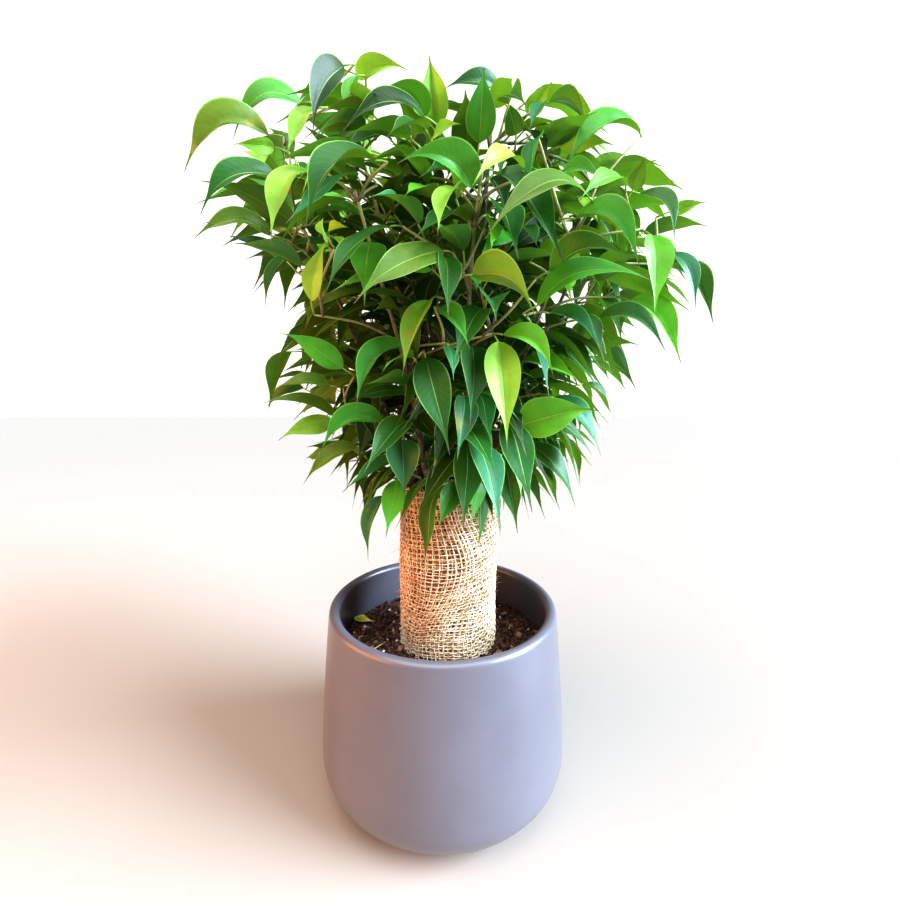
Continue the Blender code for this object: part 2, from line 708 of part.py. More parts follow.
def ruled_leaf(draw, place, along, turn, young):
    """Return a leaf at a place on a twig, drawn at random within the rule."""
    rise = (place.z - CROWN_BASE) / (CROWN_TOP - CROWN_BASE)
    out = (flat_out(place) * 0.8 + along).normalized()
    side = out.cross(Vector((0.0, 0.0, 1.0))).normalized()
    swing = turn * draw.uniform(*LEAF_SWING)
    level = out * math.cos(swing) + side * math.sin(swing)
    level.z = 0.0
    level.normalize()
    droop = math.radians(DROOP_LOW_DOWN - DROOP_LOST * rise + draw.uniform(*DROOP_SPREAD))
    heading = level * math.cos(droop) - Vector((0.0, 0.0, math.sin(droop)))
    length = draw.uniform(*(YOUNG_LENGTH if young else LEAF_LENGTH))
    lift = (heading + Vector((0.0, 0.0, 0.9)) + along * 0.3).normalized()
    base = place + lift * STALK_LENGTH
    place = place - lift * ROOT_SINK
    tip = base + heading * length
    roll = draw.uniform(-LEAF_ROLL, LEAF_ROLL)
    face = Vector((0.0, 0.0, 1.0)) + flat_out(tip) * 0.6 + side * roll
    face = (face - heading * face.dot(heading)).normalized()
    bend = face * (length * draw.uniform(*LEAF_BEND))
    width = length * LEAF_SLENDER * draw.uniform(*LEAF_SLENDER_SPREAD)
    return Leaf((), place, base, tip, face, bend, width)


def misplaced(crown, leaf):
    """Tell whether a leaf shows outside the crown's outline or hides a leaf placed by hand."""
    middle = leaf.base.lerp(leaf.tip, 0.5) + leaf.bend
    return not (inside_outline(leaf.tip) and inside_outline(middle)) or crown.hides(leaf)


def grow_side_leaf(crown, draw, wood, fraction, turn):
    """Try a few draws of a leaf on the side of a twig or stem, and keep the first that is clear."""
    place, along = place_on(wood, fraction)
    for _ in range(LEAF_TRIES):
        leaf = ruled_leaf(draw, place, along, turn, False)
        if misplaced(crown, leaf) or crown.crosses(leaf_shape(leaf, LEAF_CLEARANCE, 0.5)):
            continue
        if crown.crosses(leaf_shape(leaf, LEAF_CLEARANCE), (wood.key,)):
            continue
        crown.keep(f"leaf_{len(crown.leaves):03d}", leaf_shape(leaf))
        crown.leaves.append((wood.stem, leaf))
        return


def grow_stem_leaves(crown, draw):
    """Grow leaves straight from the upper part of each stem."""
    for stem in [wood for wood in crown.woods if wood.key.startswith("stem")]:
        for k, fraction in enumerate(STEM_LEAVES):
            grow_side_leaf(crown, draw, stem, fraction, STEM_LEAF_SWING * (-1) ** (k + stem.stem))


def grow_sprays(crown, draw, count):
    """Grow twigs with a few leaves each, spread evenly round and up the crown."""
    for number in range(count):
        angle = 2 * math.pi * ((number * SPRAY_TURN) % 1.0)
        share = ((number + 0.5) * SPRAY_RISE) % 1.0
        height = CROWN_BASE + (CROWN_TOP - CROWN_BASE) * share
        for _ in range(LEAF_TRIES):
            shell = draw.uniform(*SPRAY_SHELL) * (1.0 - FRONT_DRAW_IN * max(0.0, -math.sin(angle)))
            reach = crown_radius(angle, height) * shell
            end = Vector((SLEEVE_X + reach * math.cos(angle), reach * math.sin(angle), height))
            leaf = ruled_leaf(draw, end, flat_out(end), TWIG_END_SWING, share > YOUNG_FROM)
            twig = None if misplaced(crown, leaf) else grow_shoot(crown, leaf)
            if twig:
                for k, fraction in enumerate(SPRAY_LEAVES):
                    grow_side_leaf(crown, draw, twig, fraction, (-1) ** k)
                break


def place_on(wood, fraction):
    """Return the point and direction at a fraction of a twig's or stem's length."""
    lengths = [(b - a).length for a, b in zip(wood.path, wood.path[1:])]
    left = fraction * sum(lengths)
    for i, length in enumerate(lengths):
        if left <= length or i == len(lengths) - 1:
            first, second = wood.path[i], wood.path[i + 1]
            return first.lerp(second, min(1.0, left / length)), (second - first).normalized()
        left -= length


# The plant as solids

def join_stem(stem, crown, collection, bark):
    """Build one stem and fuse its twigs and leaves to it."""
    base = make_object(stem.key, *wood_shape(stem), collection, bark)
    pieces = bpy.data.collections.new(f"{stem.key}_pieces")
    bpy.context.scene.collection.children.link(pieces)
    for number, (owner, leaf) in enumerate(crown.leaves):
        if owner == stem.stem:
            make_object(f"leaf_{number:03d}", *leaf_shape(leaf), pieces)
    union = base.modifiers.new("Grown on", "BOOLEAN")
    union.operation = "UNION"
    union.operand_type = "COLLECTION"
    union.collection = pieces
    union.solver = "MANIFOLD"
    bake_modifiers(base)
    for piece in list(pieces.objects):
        bpy.data.objects.remove(piece, do_unlink=True)
    bpy.data.collections.remove(pieces)


def main():
    """Build the pot, the soil, the sleeve and the leafy stems."""
    clear_scene()
    collection = bpy.data.collections.new("weeping_fig")
    cutters = bpy.data.collections.new("cutters")
    bpy.context.scene.collection.children.link(collection)
    bpy.context.scene.collection.children.link(cutters)

    crown = Crown()
    keep_off_sleeve(crown)
    stems = grow_stems(crown)
    grow_front_leaves(crown)
    crown.show()
    draw = random.Random(SEED)
    grow_stem_leaves(crown, draw)
    grow_sprays(crown, draw, SPRAYS)

    build_pot(collection)
    build_soil(collection, cutters, stems)
    build_sleeve(collection)
    bark = make_material("fig_leaf", (0.06, 0.22, 0.04), 0.4)
    for stem in stems:
        join_stem(stem, crown, collection, bark)


main()
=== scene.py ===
"""Dresses a young weeping fig in a jute sleeve and a glazed pot.

The plant is grown again by the rule of the solids, from the same values, and then grows on with more
leaves than the solids can hold. Growth is worked out in millimetres and meshes are made in metres.
"""
import logging
import math
import random
from collections.abc import Iterable, Iterator, Sequence
from dataclasses import dataclass, field, replace
from enum import Enum

import bpy
from mathutils import Matrix, Vector, noise
from mathutils.bvhtree import BVHTree


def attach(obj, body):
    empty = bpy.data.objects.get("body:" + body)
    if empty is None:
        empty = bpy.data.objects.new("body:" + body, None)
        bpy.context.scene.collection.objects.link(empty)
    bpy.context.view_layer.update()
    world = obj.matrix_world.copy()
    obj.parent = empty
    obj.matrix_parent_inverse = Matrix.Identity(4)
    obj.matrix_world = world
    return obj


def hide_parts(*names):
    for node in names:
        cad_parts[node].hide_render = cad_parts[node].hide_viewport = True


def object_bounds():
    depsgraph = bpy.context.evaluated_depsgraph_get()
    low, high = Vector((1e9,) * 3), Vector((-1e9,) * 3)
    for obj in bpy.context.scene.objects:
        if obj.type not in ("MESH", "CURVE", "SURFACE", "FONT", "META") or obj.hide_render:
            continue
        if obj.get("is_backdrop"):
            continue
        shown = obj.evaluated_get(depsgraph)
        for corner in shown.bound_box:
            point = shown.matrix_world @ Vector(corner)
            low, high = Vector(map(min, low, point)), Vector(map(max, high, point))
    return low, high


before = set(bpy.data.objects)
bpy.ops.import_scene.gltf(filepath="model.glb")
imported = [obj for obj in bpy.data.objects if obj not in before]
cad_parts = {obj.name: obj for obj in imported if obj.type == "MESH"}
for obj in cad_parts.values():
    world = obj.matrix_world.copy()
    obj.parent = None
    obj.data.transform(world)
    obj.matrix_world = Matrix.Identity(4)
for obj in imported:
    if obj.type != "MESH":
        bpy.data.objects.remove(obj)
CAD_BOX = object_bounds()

log = logging.getLogger("weeping_fig")

MM = 0.001
UP = Vector((0.0, 0.0, 1.0))
FRONT = Vector((0.0, -1.0, 0.0))
Triple = tuple[float, float, float]
Colour = Triple
Span = tuple[float, float]
Ring = tuple[float, float]
Line = tuple[Sequence[Vector], bool]
Piece = bpy.types.Object
Material = bpy.types.Material
Socket = bpy.types.NodeSocket
Shape = tuple[list[Vector], list[tuple[int, ...]]]

# The camera's place in millimetres, which the growth rule needs too
EYE = Vector((0.0, -262.0, 241.0))


# Mesh tools

def deselect_all() -> None:
    """Leave nothing selected, so that an operator acts on new pieces alone."""
    bpy.ops.object.select_all(action="DESELECT")


def choose(piece: Piece) -> None:
    """Select one piece and make it the active one."""
    deselect_all()
    piece.select_set(True)
    bpy.context.view_layer.objects.active = piece


def link(name: str, data: bpy.types.ID) -> Piece:
    """Make an object of some data and link it to the scene."""
    piece = bpy.data.objects.new(name, data)
    bpy.context.scene.collection.objects.link(piece)
    return piece


def dress(piece: Piece, finish: "Finish") -> None:
    """Give a smooth piece its only finish."""
    piece.data.shade_smooth()
    piece.data.materials.clear()
    piece.data.materials.append(finish.material())


def polar(angle: float, radius: float = 1.0, height: float = 0.0, middle: float = 0.0) -> Vector:
    """Return the point at an angle and radius about an upright axis whose x is middle."""
    return Vector((middle + radius * math.cos(angle), radius * math.sin(angle), height))


def join_shapes(shapes: Iterable[Shape]) -> Shape:
    """Put several shapes in one.

    Args:
        shapes: The vertices and faces of each shape.

    Returns:
        The vertices and faces of all of them.
    """
    vertices: list[Vector] = []
    faces: list[tuple[int, ...]] = []
    for points, sides in shapes:
        first = len(vertices)
        vertices += points
        faces += [tuple(first + i for i in side) for side in sides]
    return vertices, faces


def make_piece(name: str, shape: Shape, finish: "Finish") -> Piece:
    """Make a mesh object from a shape in millimetres.

    Args:
        name: The piece's name.
        shape: Its vertices and faces.
        finish: The finish it wears.

    Returns:
        The new object, linked to the scene.
    """
    mesh = bpy.data.meshes.new(name)
    mesh.from_pydata([point * MM for point in shape[0]], [], shape[1])
    piece = link(name, mesh)
    dress(piece, finish)
    return piece


def turned(name: str, rings: Sequence[Ring], sides: int) -> Piece:
    """Raise a closed round body ring by ring, each extruded from the one before.

    Args:
        name: The piece's name.
        rings: Radius and height of each ring, in millimetres.
        sides: How many sides the rings have.

    Returns:
        The new object at the origin, with outward faces.
    """
    deselect_all()
    radius, height = rings[0]
    bpy.ops.mesh.primitive_circle_add(vertices=sides, radius=radius * MM, fill_type="NGON",
                                      location=(0.0, 0.0, height * MM))
    body = bpy.context.active_object
    body.name = body.data.name = name
    bpy.ops.object.mode_set(mode="EDIT")
    for (before, low), (after, high) in zip(rings, rings[1:]):
        bpy.ops.mesh.extrude_region_move(TRANSFORM_OT_translate={"value": (0.0, 0.0, (high - low) * MM)})
        grow = after / before
        bpy.ops.transform.resize(value=(grow, grow, 1.0), center_override=(0.0, 0.0, high * MM))
    bpy.ops.mesh.select_all(action="SELECT")
    bpy.ops.mesh.normals_make_consistent(inside=False)
    bpy.ops.object.mode_set(mode="OBJECT")
    bpy.ops.object.transform_apply(location=True, rotation=True, scale=True)
    return body


def threads(name: str, lines: Iterable[Line], radius: float, finish: "Finish",
            taper: float = 0.0) -> Piece:
    """Turn lines into thin round threads.

    Args:
        name: The piece's name.
        lines: The points of each line in millimetres, and whether it closes.
        radius: The threads' radius in millimetres.
        finish: The finish they wear.
        taper: The share of its thickness that a thread loses towards its end.

    Returns:
        The threads as one mesh object.
    """
    curve = bpy.data.curves.new(name, "CURVE")
    curve.dimensions = "3D"
    curve.bevel_depth = radius * MM
    curve.bevel_resolution = 0
    curve.use_fill_caps = True
    for points, closed in lines:
        spline = curve.splines.new("POLY")
        spline.points.add(len(points) - 1)
        spline.use_cyclic_u = closed
        for i, (knot, point) in enumerate(zip(spline.points, points)):
            knot.co = (*(point * MM), 1.0)
            knot.radius = 1.0 - taper * (i / (len(points) - 1))
    choose(link(name, curve))
    bpy.ops.object.convert(target="MESH")
    piece = bpy.context.active_object
    piece.name = piece.data.name = name
    dress(piece, finish)
    return piece


def loft(sections: Sequence[Sequence[Vector]], point_end: Vector | None = None) -> Shape:
    """Close a loft through sections of equal size.

    Args:
        sections: The sections in order.
        point_end: A point that the loft runs out to, or None for a flat end.

    Returns:
        The loft's vertices and faces.
    """
    count = len(sections[0])
    vertices = [point for section in sections for point in section]
    faces: list[tuple[int, ...]] = [tuple(reversed(range(count)))]
    for ring in range(len(sections) - 1):
        low = ring * count
        for i in range(count):
            j = (i + 1) % count
            faces.append((low + i, low + j, low + count + j))
            faces.append((low + i, low + count + j, low + count + i))
    last = len(vertices) - count
    if point_end is None:
        faces.append(tuple(range(last, last + count)))
    else:
        vertices.append(point_end)
        faces += [(last + i, last + (i + 1) % count, len(vertices) - 1) for i in range(count)]
    return vertices, faces


def tube(path: Sequence[Vector], radii: Sequence[float], sides: int) -> Shape:
    """Wrap a round tube about a path.

    Args:
        path: The points that it follows.
        radii: Its radius at each point.
        sides: How many sides it has.

    Returns:
        The tube's vertices and faces.
    """
    sections = []
    last = len(path) - 1
    side: Vector | None = None
    for i, point in enumerate(path):
        direction = (path[min(i + 1, last)] - path[max(i - 1, 0)]).normalized()
        if side is None:
            side = across(direction)
        side = (side - direction * side.dot(direction)).normalized()
        up = side.cross(direction)
        turns = [math.tau * k / sides for k in range(sides)]
        sections.append([point + side * (radii[i] * math.cos(a)) - up * (radii[i] * math.sin(a))
                         for a in turns])
    return loft(sections)


def across(direction: Vector) -> Vector:
    """Return a unit vector across a direction, level where it can be."""
    side = direction.cross(UP)
    if side.length < 0.05:
        side = direction.cross(Vector((1.0, 0.0, 0.0)))
    return side.normalized()


def level_ring(x: float, radius: float, height: float, sides: int) -> list[Vector]:
    """Return a level ring of points about an upright axis at x."""
    return [polar(math.tau * i / sides, radius, height, x) for i in range(sides)]


def curve_point(start: Vector, control: Vector, end: Vector, t: float) -> Vector:
    """Return a point of the quadratic curve from start to end."""
    return start * (1 - t) ** 2 + control * (2 * t * (1 - t)) + end * t ** 2


def smooth_path(points: Sequence[Vector], steps: int) -> list[Vector]:
    """Run a smooth curve through points.

    Args:
        points: The points it passes.
        steps: How many steps it takes from each point to the next.

    Returns:
        The curve's points.
    """
    ends = [points[0] * 2 - points[1], *points, points[-1] * 2 - points[-2]]
    path = []
    for a, b, c, d in zip(ends, ends[1:], ends[2:], ends[3:]):
        for k in range(steps):
            t = k / steps
            path.append(0.5 * (2 * b + (c - a) * t + (2 * a - 5 * b + 4 * c - d) * t ** 2
                               + (3 * b - a - 3 * c + d) * t ** 3))
    return path + [points[-1]]


def interpolate(value: float, places: Sequence[float], values: Sequence[float]) -> float:
    """Read a value between given places.

    Args:
        value: Where to read.
        places: The places in rising order.
        values: What holds at each place.

    Returns:
        The value between the two nearest places.
    """
    if value <= places[0]:
        return values[0]
    for i in range(1, len(places)):
        if value <= places[i]:
            share = (value - places[i - 1]) / (places[i] - places[i - 1])
            return values[i - 1] + (values[i] - values[i - 1]) * share
    return values[-1]


# Shader tools

class Number:
    """A number in a node tree, on which Python's operators add Math nodes."""

    def __init__(self, shader: "Shader", socket: Socket) -> None:
        """Wrap a socket of a shader."""
        self.shader = shader
        self.socket = socket

    def _math(self, operation: str, *values: "Number | float") -> "Number":
        """Add one Math node on some values."""
        node = self.shader.node("ShaderNodeMath", {"operation": operation}, dict(enumerate(values)))
        return Number(self.shader, node.outputs[0])

    def __add__(self, other: "Number | float") -> "Number":
        """Return self + other."""
        return self._math("ADD", self, other)

    __radd__ = __add__

    def __mul__(self, other: "Number | float") -> "Number":
        """Return self * other."""
        return self._math("MULTIPLY", self, other)

    __rmul__ = __mul__

    def __sub__(self, other: "Number | float") -> "Number":
        """Return self - other."""
        return self._math("SUBTRACT", self, other)

    def __rsub__(self, other: float) -> "Number":
        """Return other - self."""
        return self._math("SUBTRACT", other, self)

    def __abs__(self) -> "Number":
        """Return the size without its sign."""
        return self._math("ABSOLUTE", self)

    def sine(self) -> "Number":
        """Return the sine."""
        return self._math("SINE", self)

    def step(self, low: float, high: float) -> "Number":
        """Rise smoothly from 0 to 1.

        Args:
            low: Where the result is 0.
            high: Where the result is 1.

        Returns:
            The smooth step.
        """
        node = self.shader.node("ShaderNodeMapRange", {"interpolation_type": "SMOOTHSTEP"},
                                {"Value": self, "From Min": low, "From Max": high})
        return Number(self.shader, node.outputs[0])


class Shader:
    """A material whose nodes are all added by one method."""

    def __init__(self, name: str) -> None:
        """Start a material with its Principled shader."""
        self.made = bpy.data.materials.new(name)
        self.made.use_nodes = True
        self.tree = self.made.node_tree
        self.surface = self.tree.nodes["Principled BSDF"]

    def node(self, kind: str, settings: dict | None = None, sockets: dict | None = None) -> bpy.types.Node:
        """Add a node.

        Args:
            kind: The node's type.
            settings: Its settings, which are set first.
            sockets: Values or links of its inputs by name or number.

        Returns:
            The new node.
        """
        node = self.tree.nodes.new(kind)
        for name, value in (settings or {}).items():
            setattr(node, name, value)
        for name, value in (sockets or {}).items():
            self.feed(node.inputs[name], value)
        return node

    def feed(self, socket: Socket, value: object) -> None:
        """Link a socket or set its value."""
        if isinstance(value, Number):
            value = value.socket
        if isinstance(value, Socket):
            self.tree.links.new(value, socket)
        elif socket.type == "RGBA":
            socket.default_value = (*value, 1.0)
        else:
            socket.default_value = value

    def paint(self, **sockets: object) -> None:
        """Feed the Principled shader, with underscores for spaces in the sockets' names."""
        for name, value in sockets.items():
            self.feed(self.surface.inputs[name.replace("_", " ")], value)

    def place(self) -> Socket:
        """Return the point on the object in metres."""
        return self.node("ShaderNodeTexCoord").outputs["Object"]

    def attribute(self, name: str) -> Number:
        """Return a number that the mesh carries."""
        node = self.node("ShaderNodeAttribute", {"attribute_name": name})
        return Number(self, node.outputs["Fac"])

    def chart(self, name: str) -> tuple[Number, Number]:
        """Return the two coordinates of a map that the mesh carries."""
        uv = self.node("ShaderNodeUVMap", {"uv_map": name}).outputs[0]
        split = self.node("ShaderNodeSeparateXYZ", None, {0: uv})
        return Number(self, split.outputs[0]), Number(self, split.outputs[1])

    def cloud(self, size: float, detail: float = 2.0) -> Number:
        """Add soft noise.

        Args:
            size: Size of its patches in millimetres.
            detail: How much finer noise it holds.

        Returns:
            The noise from 0 to 1.
        """
        node = self.node("ShaderNodeTexNoise", None,
                         {"Vector": self.place(), "Scale": 1.0 / (size * MM), "Detail": detail})
        return Number(self, node.outputs[0])

    def mix(self, share: Number | float, first: object, second: object) -> Socket:
        """Mix two colours.

        Args:
            share: How much of the second shows.
            first: The first colour.
            second: The second colour.

        Returns:
            The mixed colour's socket.
        """
        # A Mix node's colours are its inputs 6 and 7 and its output 2
        node = self.node("ShaderNodeMix", {"data_type": "RGBA"}, {0: share, 6: first, 7: second})
        return node.outputs[2]

    def bump(self, height: Number, distance: float, strength: float = 1.0) -> Socket:
        """Raise the surface by a height of up to a distance in millimetres."""
        node = self.node("ShaderNodeBump", None,
                         {"Height": height, "Distance": distance * MM, "Strength": strength})
        return node.outputs["Normal"]


class Finish:
    """A finish that makes its material once."""

    name: str
    _made: dict["Finish", Material] = {}

    def material(self) -> Material:
        """Return the finish's material, made at its first use."""
        if self not in self._made:
            shader = Shader(self.name)
            self.make(shader)
            self._made[self] = shader.made
        return self._made[self]

    def make(self, shader: Shader) -> None:
        """Add the finish's nodes to a shader."""
        raise NotImplementedError


@dataclass(frozen=True)
class GreyGlaze(Finish):
    """Satin grey glaze with a faint cloudiness and a few specks."""

    name = "grey_glaze"
    colour: Colour = (0.119, 0.115, 0.134)
    light: Colour = (0.133, 0.129, 0.150)
    speck: Colour = (0.09, 0.09, 0.10)

    def make(self, shader: Shader) -> None:
        """Build the glaze."""
        cloud = shader.cloud(45.0, 4.0).step(0.35, 0.7)
        tone = shader.mix(cloud, self.colour, self.light)
        specks = 0.35 * shader.cloud(1.3, 1.0).step(0.72, 0.78)
        grain = shader.cloud(0.6)
        swell = shader.cloud(9.0)
        shader.paint(Base_Color=shader.mix(specks, tone, self.speck),
                     Roughness=0.36 + 0.1 * shader.cloud(20.0),
                     Coat_Weight=0.55, Coat_Roughness=0.20,
                     Normal=shader.bump(0.3 * grain + swell, 0.12, 0.35))


@dataclass(frozen=True)
class PottingSoil(Finish):
    """Damp dark peat with lighter fibrous crumbs."""

    name = "potting_soil"
    dark: Colour = (0.020, 0.010, 0.008)
    brown: Colour = (0.26, 0.125, 0.080)

    def make(self, shader: Shader) -> None:
        """Build the soil."""
        lumps = shader.cloud(2.6, 6.0)
        fine = shader.cloud(0.7, 3.0)
        tone = shader.mix((0.6 * lumps + 0.4 * fine).step(0.42, 0.66), self.dark, self.brown)
        shader.paint(Base_Color=tone, Roughness=0.75 + 0.25 * fine,
                     Normal=shader.bump(lumps + 0.5 * fine, 0.9, 0.9))


@dataclass(frozen=True)
class BarkChip(Finish):
    """Brown bark with a paler broken grain."""

    name = "bark_chip"
    dark: Colour = (0.060, 0.028, 0.018)
    pale: Colour = (0.42, 0.26, 0.17)

    def make(self, shader: Shader) -> None:
        """Build the bark."""
        piece = shader.cloud(7.0, 1.0).step(0.45, 0.68)
        grain = shader.cloud(0.8, 4.0)
        tone = shader.mix(piece * (0.4 + grain), self.dark, self.pale)
        shader.paint(Base_Color=tone, Roughness=0.8, Normal=shader.bump(grain, 0.4))


@dataclass(frozen=True)
class Stained(Finish):
    """A matt skin with soft stains and a fine grain."""

    name: str
    plain: Colour
    stain: Colour
    patch: float
    detail: float
    stained_from: float
    stained_by: float
    grain: float
    grain_height: float
    roughness: float

    def make(self, shader: Shader) -> None:
        """Build the stained skin."""
        stain = shader.cloud(self.patch, self.detail).step(self.stained_from, self.stained_by)
        shader.paint(Base_Color=shader.mix(stain, self.plain, self.stain), Roughness=self.roughness,
                     Normal=shader.bump(shader.cloud(self.grain), self.grain_height))


PERLITE = Stained("perlite", plain=(0.72, 0.68, 0.60), stain=(0.36, 0.26, 0.18), patch=1.6, detail=3.0,
                  stained_from=0.48, stained_by=0.7, grain=0.4, grain_height=0.2, roughness=0.85)
STRAW = Stained("straw", plain=(0.62, 0.52, 0.27), stain=(0.30, 0.20, 0.08), patch=2.5, detail=3.0,
                stained_from=0.5, stained_by=0.75, grain=0.5, grain_height=0.1, roughness=0.6)
YELLOWED = Stained("fallen_leaf", plain=(0.66, 0.60, 0.16), stain=(0.36, 0.42, 0.08), patch=5.0, detail=2.0,
                   stained_from=0.4, stained_by=0.65, grain=1.0, grain_height=0.15, roughness=0.5)


@dataclass(frozen=True)
class Jute(Finish):
    """Raw jute yarn with lighter and browner stretches and twisted fibres."""

    name = "jute"
    straw: Colour = (0.84, 0.69, 0.50)
    brown: Colour = (0.56, 0.37, 0.21)

    def make(self, shader: Shader) -> None:
        """Build the yarn."""
        stretch = shader.cloud(6.0)
        fibre = shader.cloud(0.5, 3.0)
        share = (0.6 * stretch + 0.5 * fibre).step(0.46, 0.72)
        shader.paint(Base_Color=shader.mix(share, self.straw, self.brown), Roughness=0.85,
                     Sheen_Weight=0.25, Sheen_Roughness=0.4, Normal=shader.bump(fibre, 0.25))


@dataclass(frozen=True)
class JuteCloth(Finish):
    """The inner turn of the net, close to the wood, with its open meshes painted dark as shade."""

    name = "jute_cloth"
    thread: Colour = (0.52, 0.36, 0.22)
    # Painted shade in the open meshes, also the colour that darkens the threads' fibres
    dark_fibre_and_gap_shade: Colour = (0.060, 0.038, 0.024)
    pitch: float = 2.7

    def make(self, shader: Shader) -> None:
        """Build the weave from the cloth's own map, in millimetres."""
        around, upward = shader.chart("cloth")
        sway = 1.6 * shader.cloud(14.0)
        turn = math.tau / self.pitch
        open_warp = ((around + sway) * turn).sine().step(0.15, 0.55)
        open_weft = ((upward + sway) * turn).sine().step(0.15, 0.55)
        woven = 1.0 - open_warp * open_weft
        fibre = shader.cloud(0.5, 3.0)
        thread = shader.mix(0.8 * fibre, self.thread, self.dark_fibre_and_gap_shade)
        # Where no thread lies, the cloth is painted shade
        shader.paint(Base_Color=shader.mix(woven, self.dark_fibre_and_gap_shade, thread), Roughness=0.9,
                     Normal=shader.bump(woven + 0.3 * fibre, 0.5))


@dataclass(frozen=True)
class FigBark(Finish):
    """Thin brown bark with pale pores, green on the young twigs."""

    name = "fig_bark"
    brown: Colour = (0.105, 0.082, 0.068)
    grey: Colour = (0.22, 0.19, 0.16)
    pore: Colour = (0.42, 0.34, 0.25)
    young: Colour = (0.36, 0.38, 0.15)

    def make(self, shader: Shader) -> None:
        """Build the bark from how young the wood is."""
        streak = shader.cloud(4.0, 4.0)
        old = shader.mix(streak.step(0.4, 0.7), self.brown, self.grey)
        pores = 0.7 * shader.cloud(0.9, 1.0).step(0.66, 0.74)
        bark = shader.mix(pores, old, self.pore)
        youth = shader.attribute("youth").step(0.35, 1.0)
        shader.paint(Base_Color=shader.mix(youth, bark, self.young), Roughness=0.62,
                     Normal=shader.bump(streak + 0.4 * pores, 0.3))


@dataclass(frozen=True)
class FigLeaf(Finish):
    """Glossy leaf skin with a pale midrib, fine side veins and light margins."""

    name = "fig_leaf"
    rib: Colour = (0.42, 0.58, 0.16)
    margin: Colour = (0.30, 0.52, 0.14)
    burnt: Colour = (0.42, 0.34, 0.045)
    tail: Colour = (0.13, 0.075, 0.055)
    underside: Colour = (0.07, 0.15, 0.03)
    shaded: Colour = (0.010, 0.045, 0.006)
    through: Colour = (0.34, 0.62, 0.04)
    see_through: float = 0.13
    veins: float = 13.0
    vein_slant: float = 2.2

    def make(self, shader: Shader) -> None:
        """Build the leaf from its map: across from margin to margin, and along to the tip."""
        sideways, along = shader.chart("blade")
        side = 2.0 * abs(sideways - 0.5)
        colour = shader.node("ShaderNodeAttribute", {"attribute_name": "leaf_colour"}).outputs["Color"]
        cloud = shader.cloud(11.0, 3.0)
        vein = ((self.veins * along - self.vein_slant * side) * math.tau).sine().step(0.55, 1.0)
        shaded = shader.mix(0.30 * cloud.step(0.3, 0.75), colour, self.shaded)
        veined = shader.mix(0.03 * vein, shaded, self.rib)
        patch = cloud.step(0.56, 0.72) * shader.attribute("sun")
        patched = shader.mix(patch, veined, self.burnt)
        ribbed = shader.mix(0.55 * (1.0 - side.step(0.005, 0.045)), patched, self.rib)
        edged = shader.mix(0.65 * side.step(0.92, 0.98), ribbed, self.margin)
        tipped = shader.mix(0.85 * along.step(0.90, 0.98), edged, self.tail)
        behind = Number(shader, shader.node("ShaderNodeNewGeometry").outputs["Backfacing"])
        rib_height = 1.0 - side.step(0.0, 0.10)
        shader.paint(Base_Color=shader.mix(0.55 * behind, tipped, self.underside),
                     Roughness=0.38 + 0.16 * cloud + 0.18 * behind,
                     Specular_IOR_Level=0.32, Coat_Weight=0.05, Coat_Roughness=0.2,
                     Normal=shader.bump(0.06 * vein - 0.5 * rib_height + 0.8 * cloud, 0.45, 0.6))
        glow = shader.node("ShaderNodeBsdfTranslucent", None, {"Color": self.through})
        both = shader.node("ShaderNodeMixShader", None, {0: self.see_through, 1: shader.surface.outputs[0],
                                                         2: glow.outputs[0]})
        shader.feed(shader.tree.nodes["Material Output"].inputs["Surface"], both.outputs[0])


@dataclass(frozen=True)
class StudioFloor(Finish):
    """Plain matt floor that looks off-white in the studio's light."""

    name = "studio_floor"
    colour: Colour = (0.34, 0.30, 0.26)

    def make(self, shader: Shader) -> None:
        """Build the floor."""
        shader.paint(Base_Color=self.colour, Roughness=0.7)


# Pot, soil and what lies on it

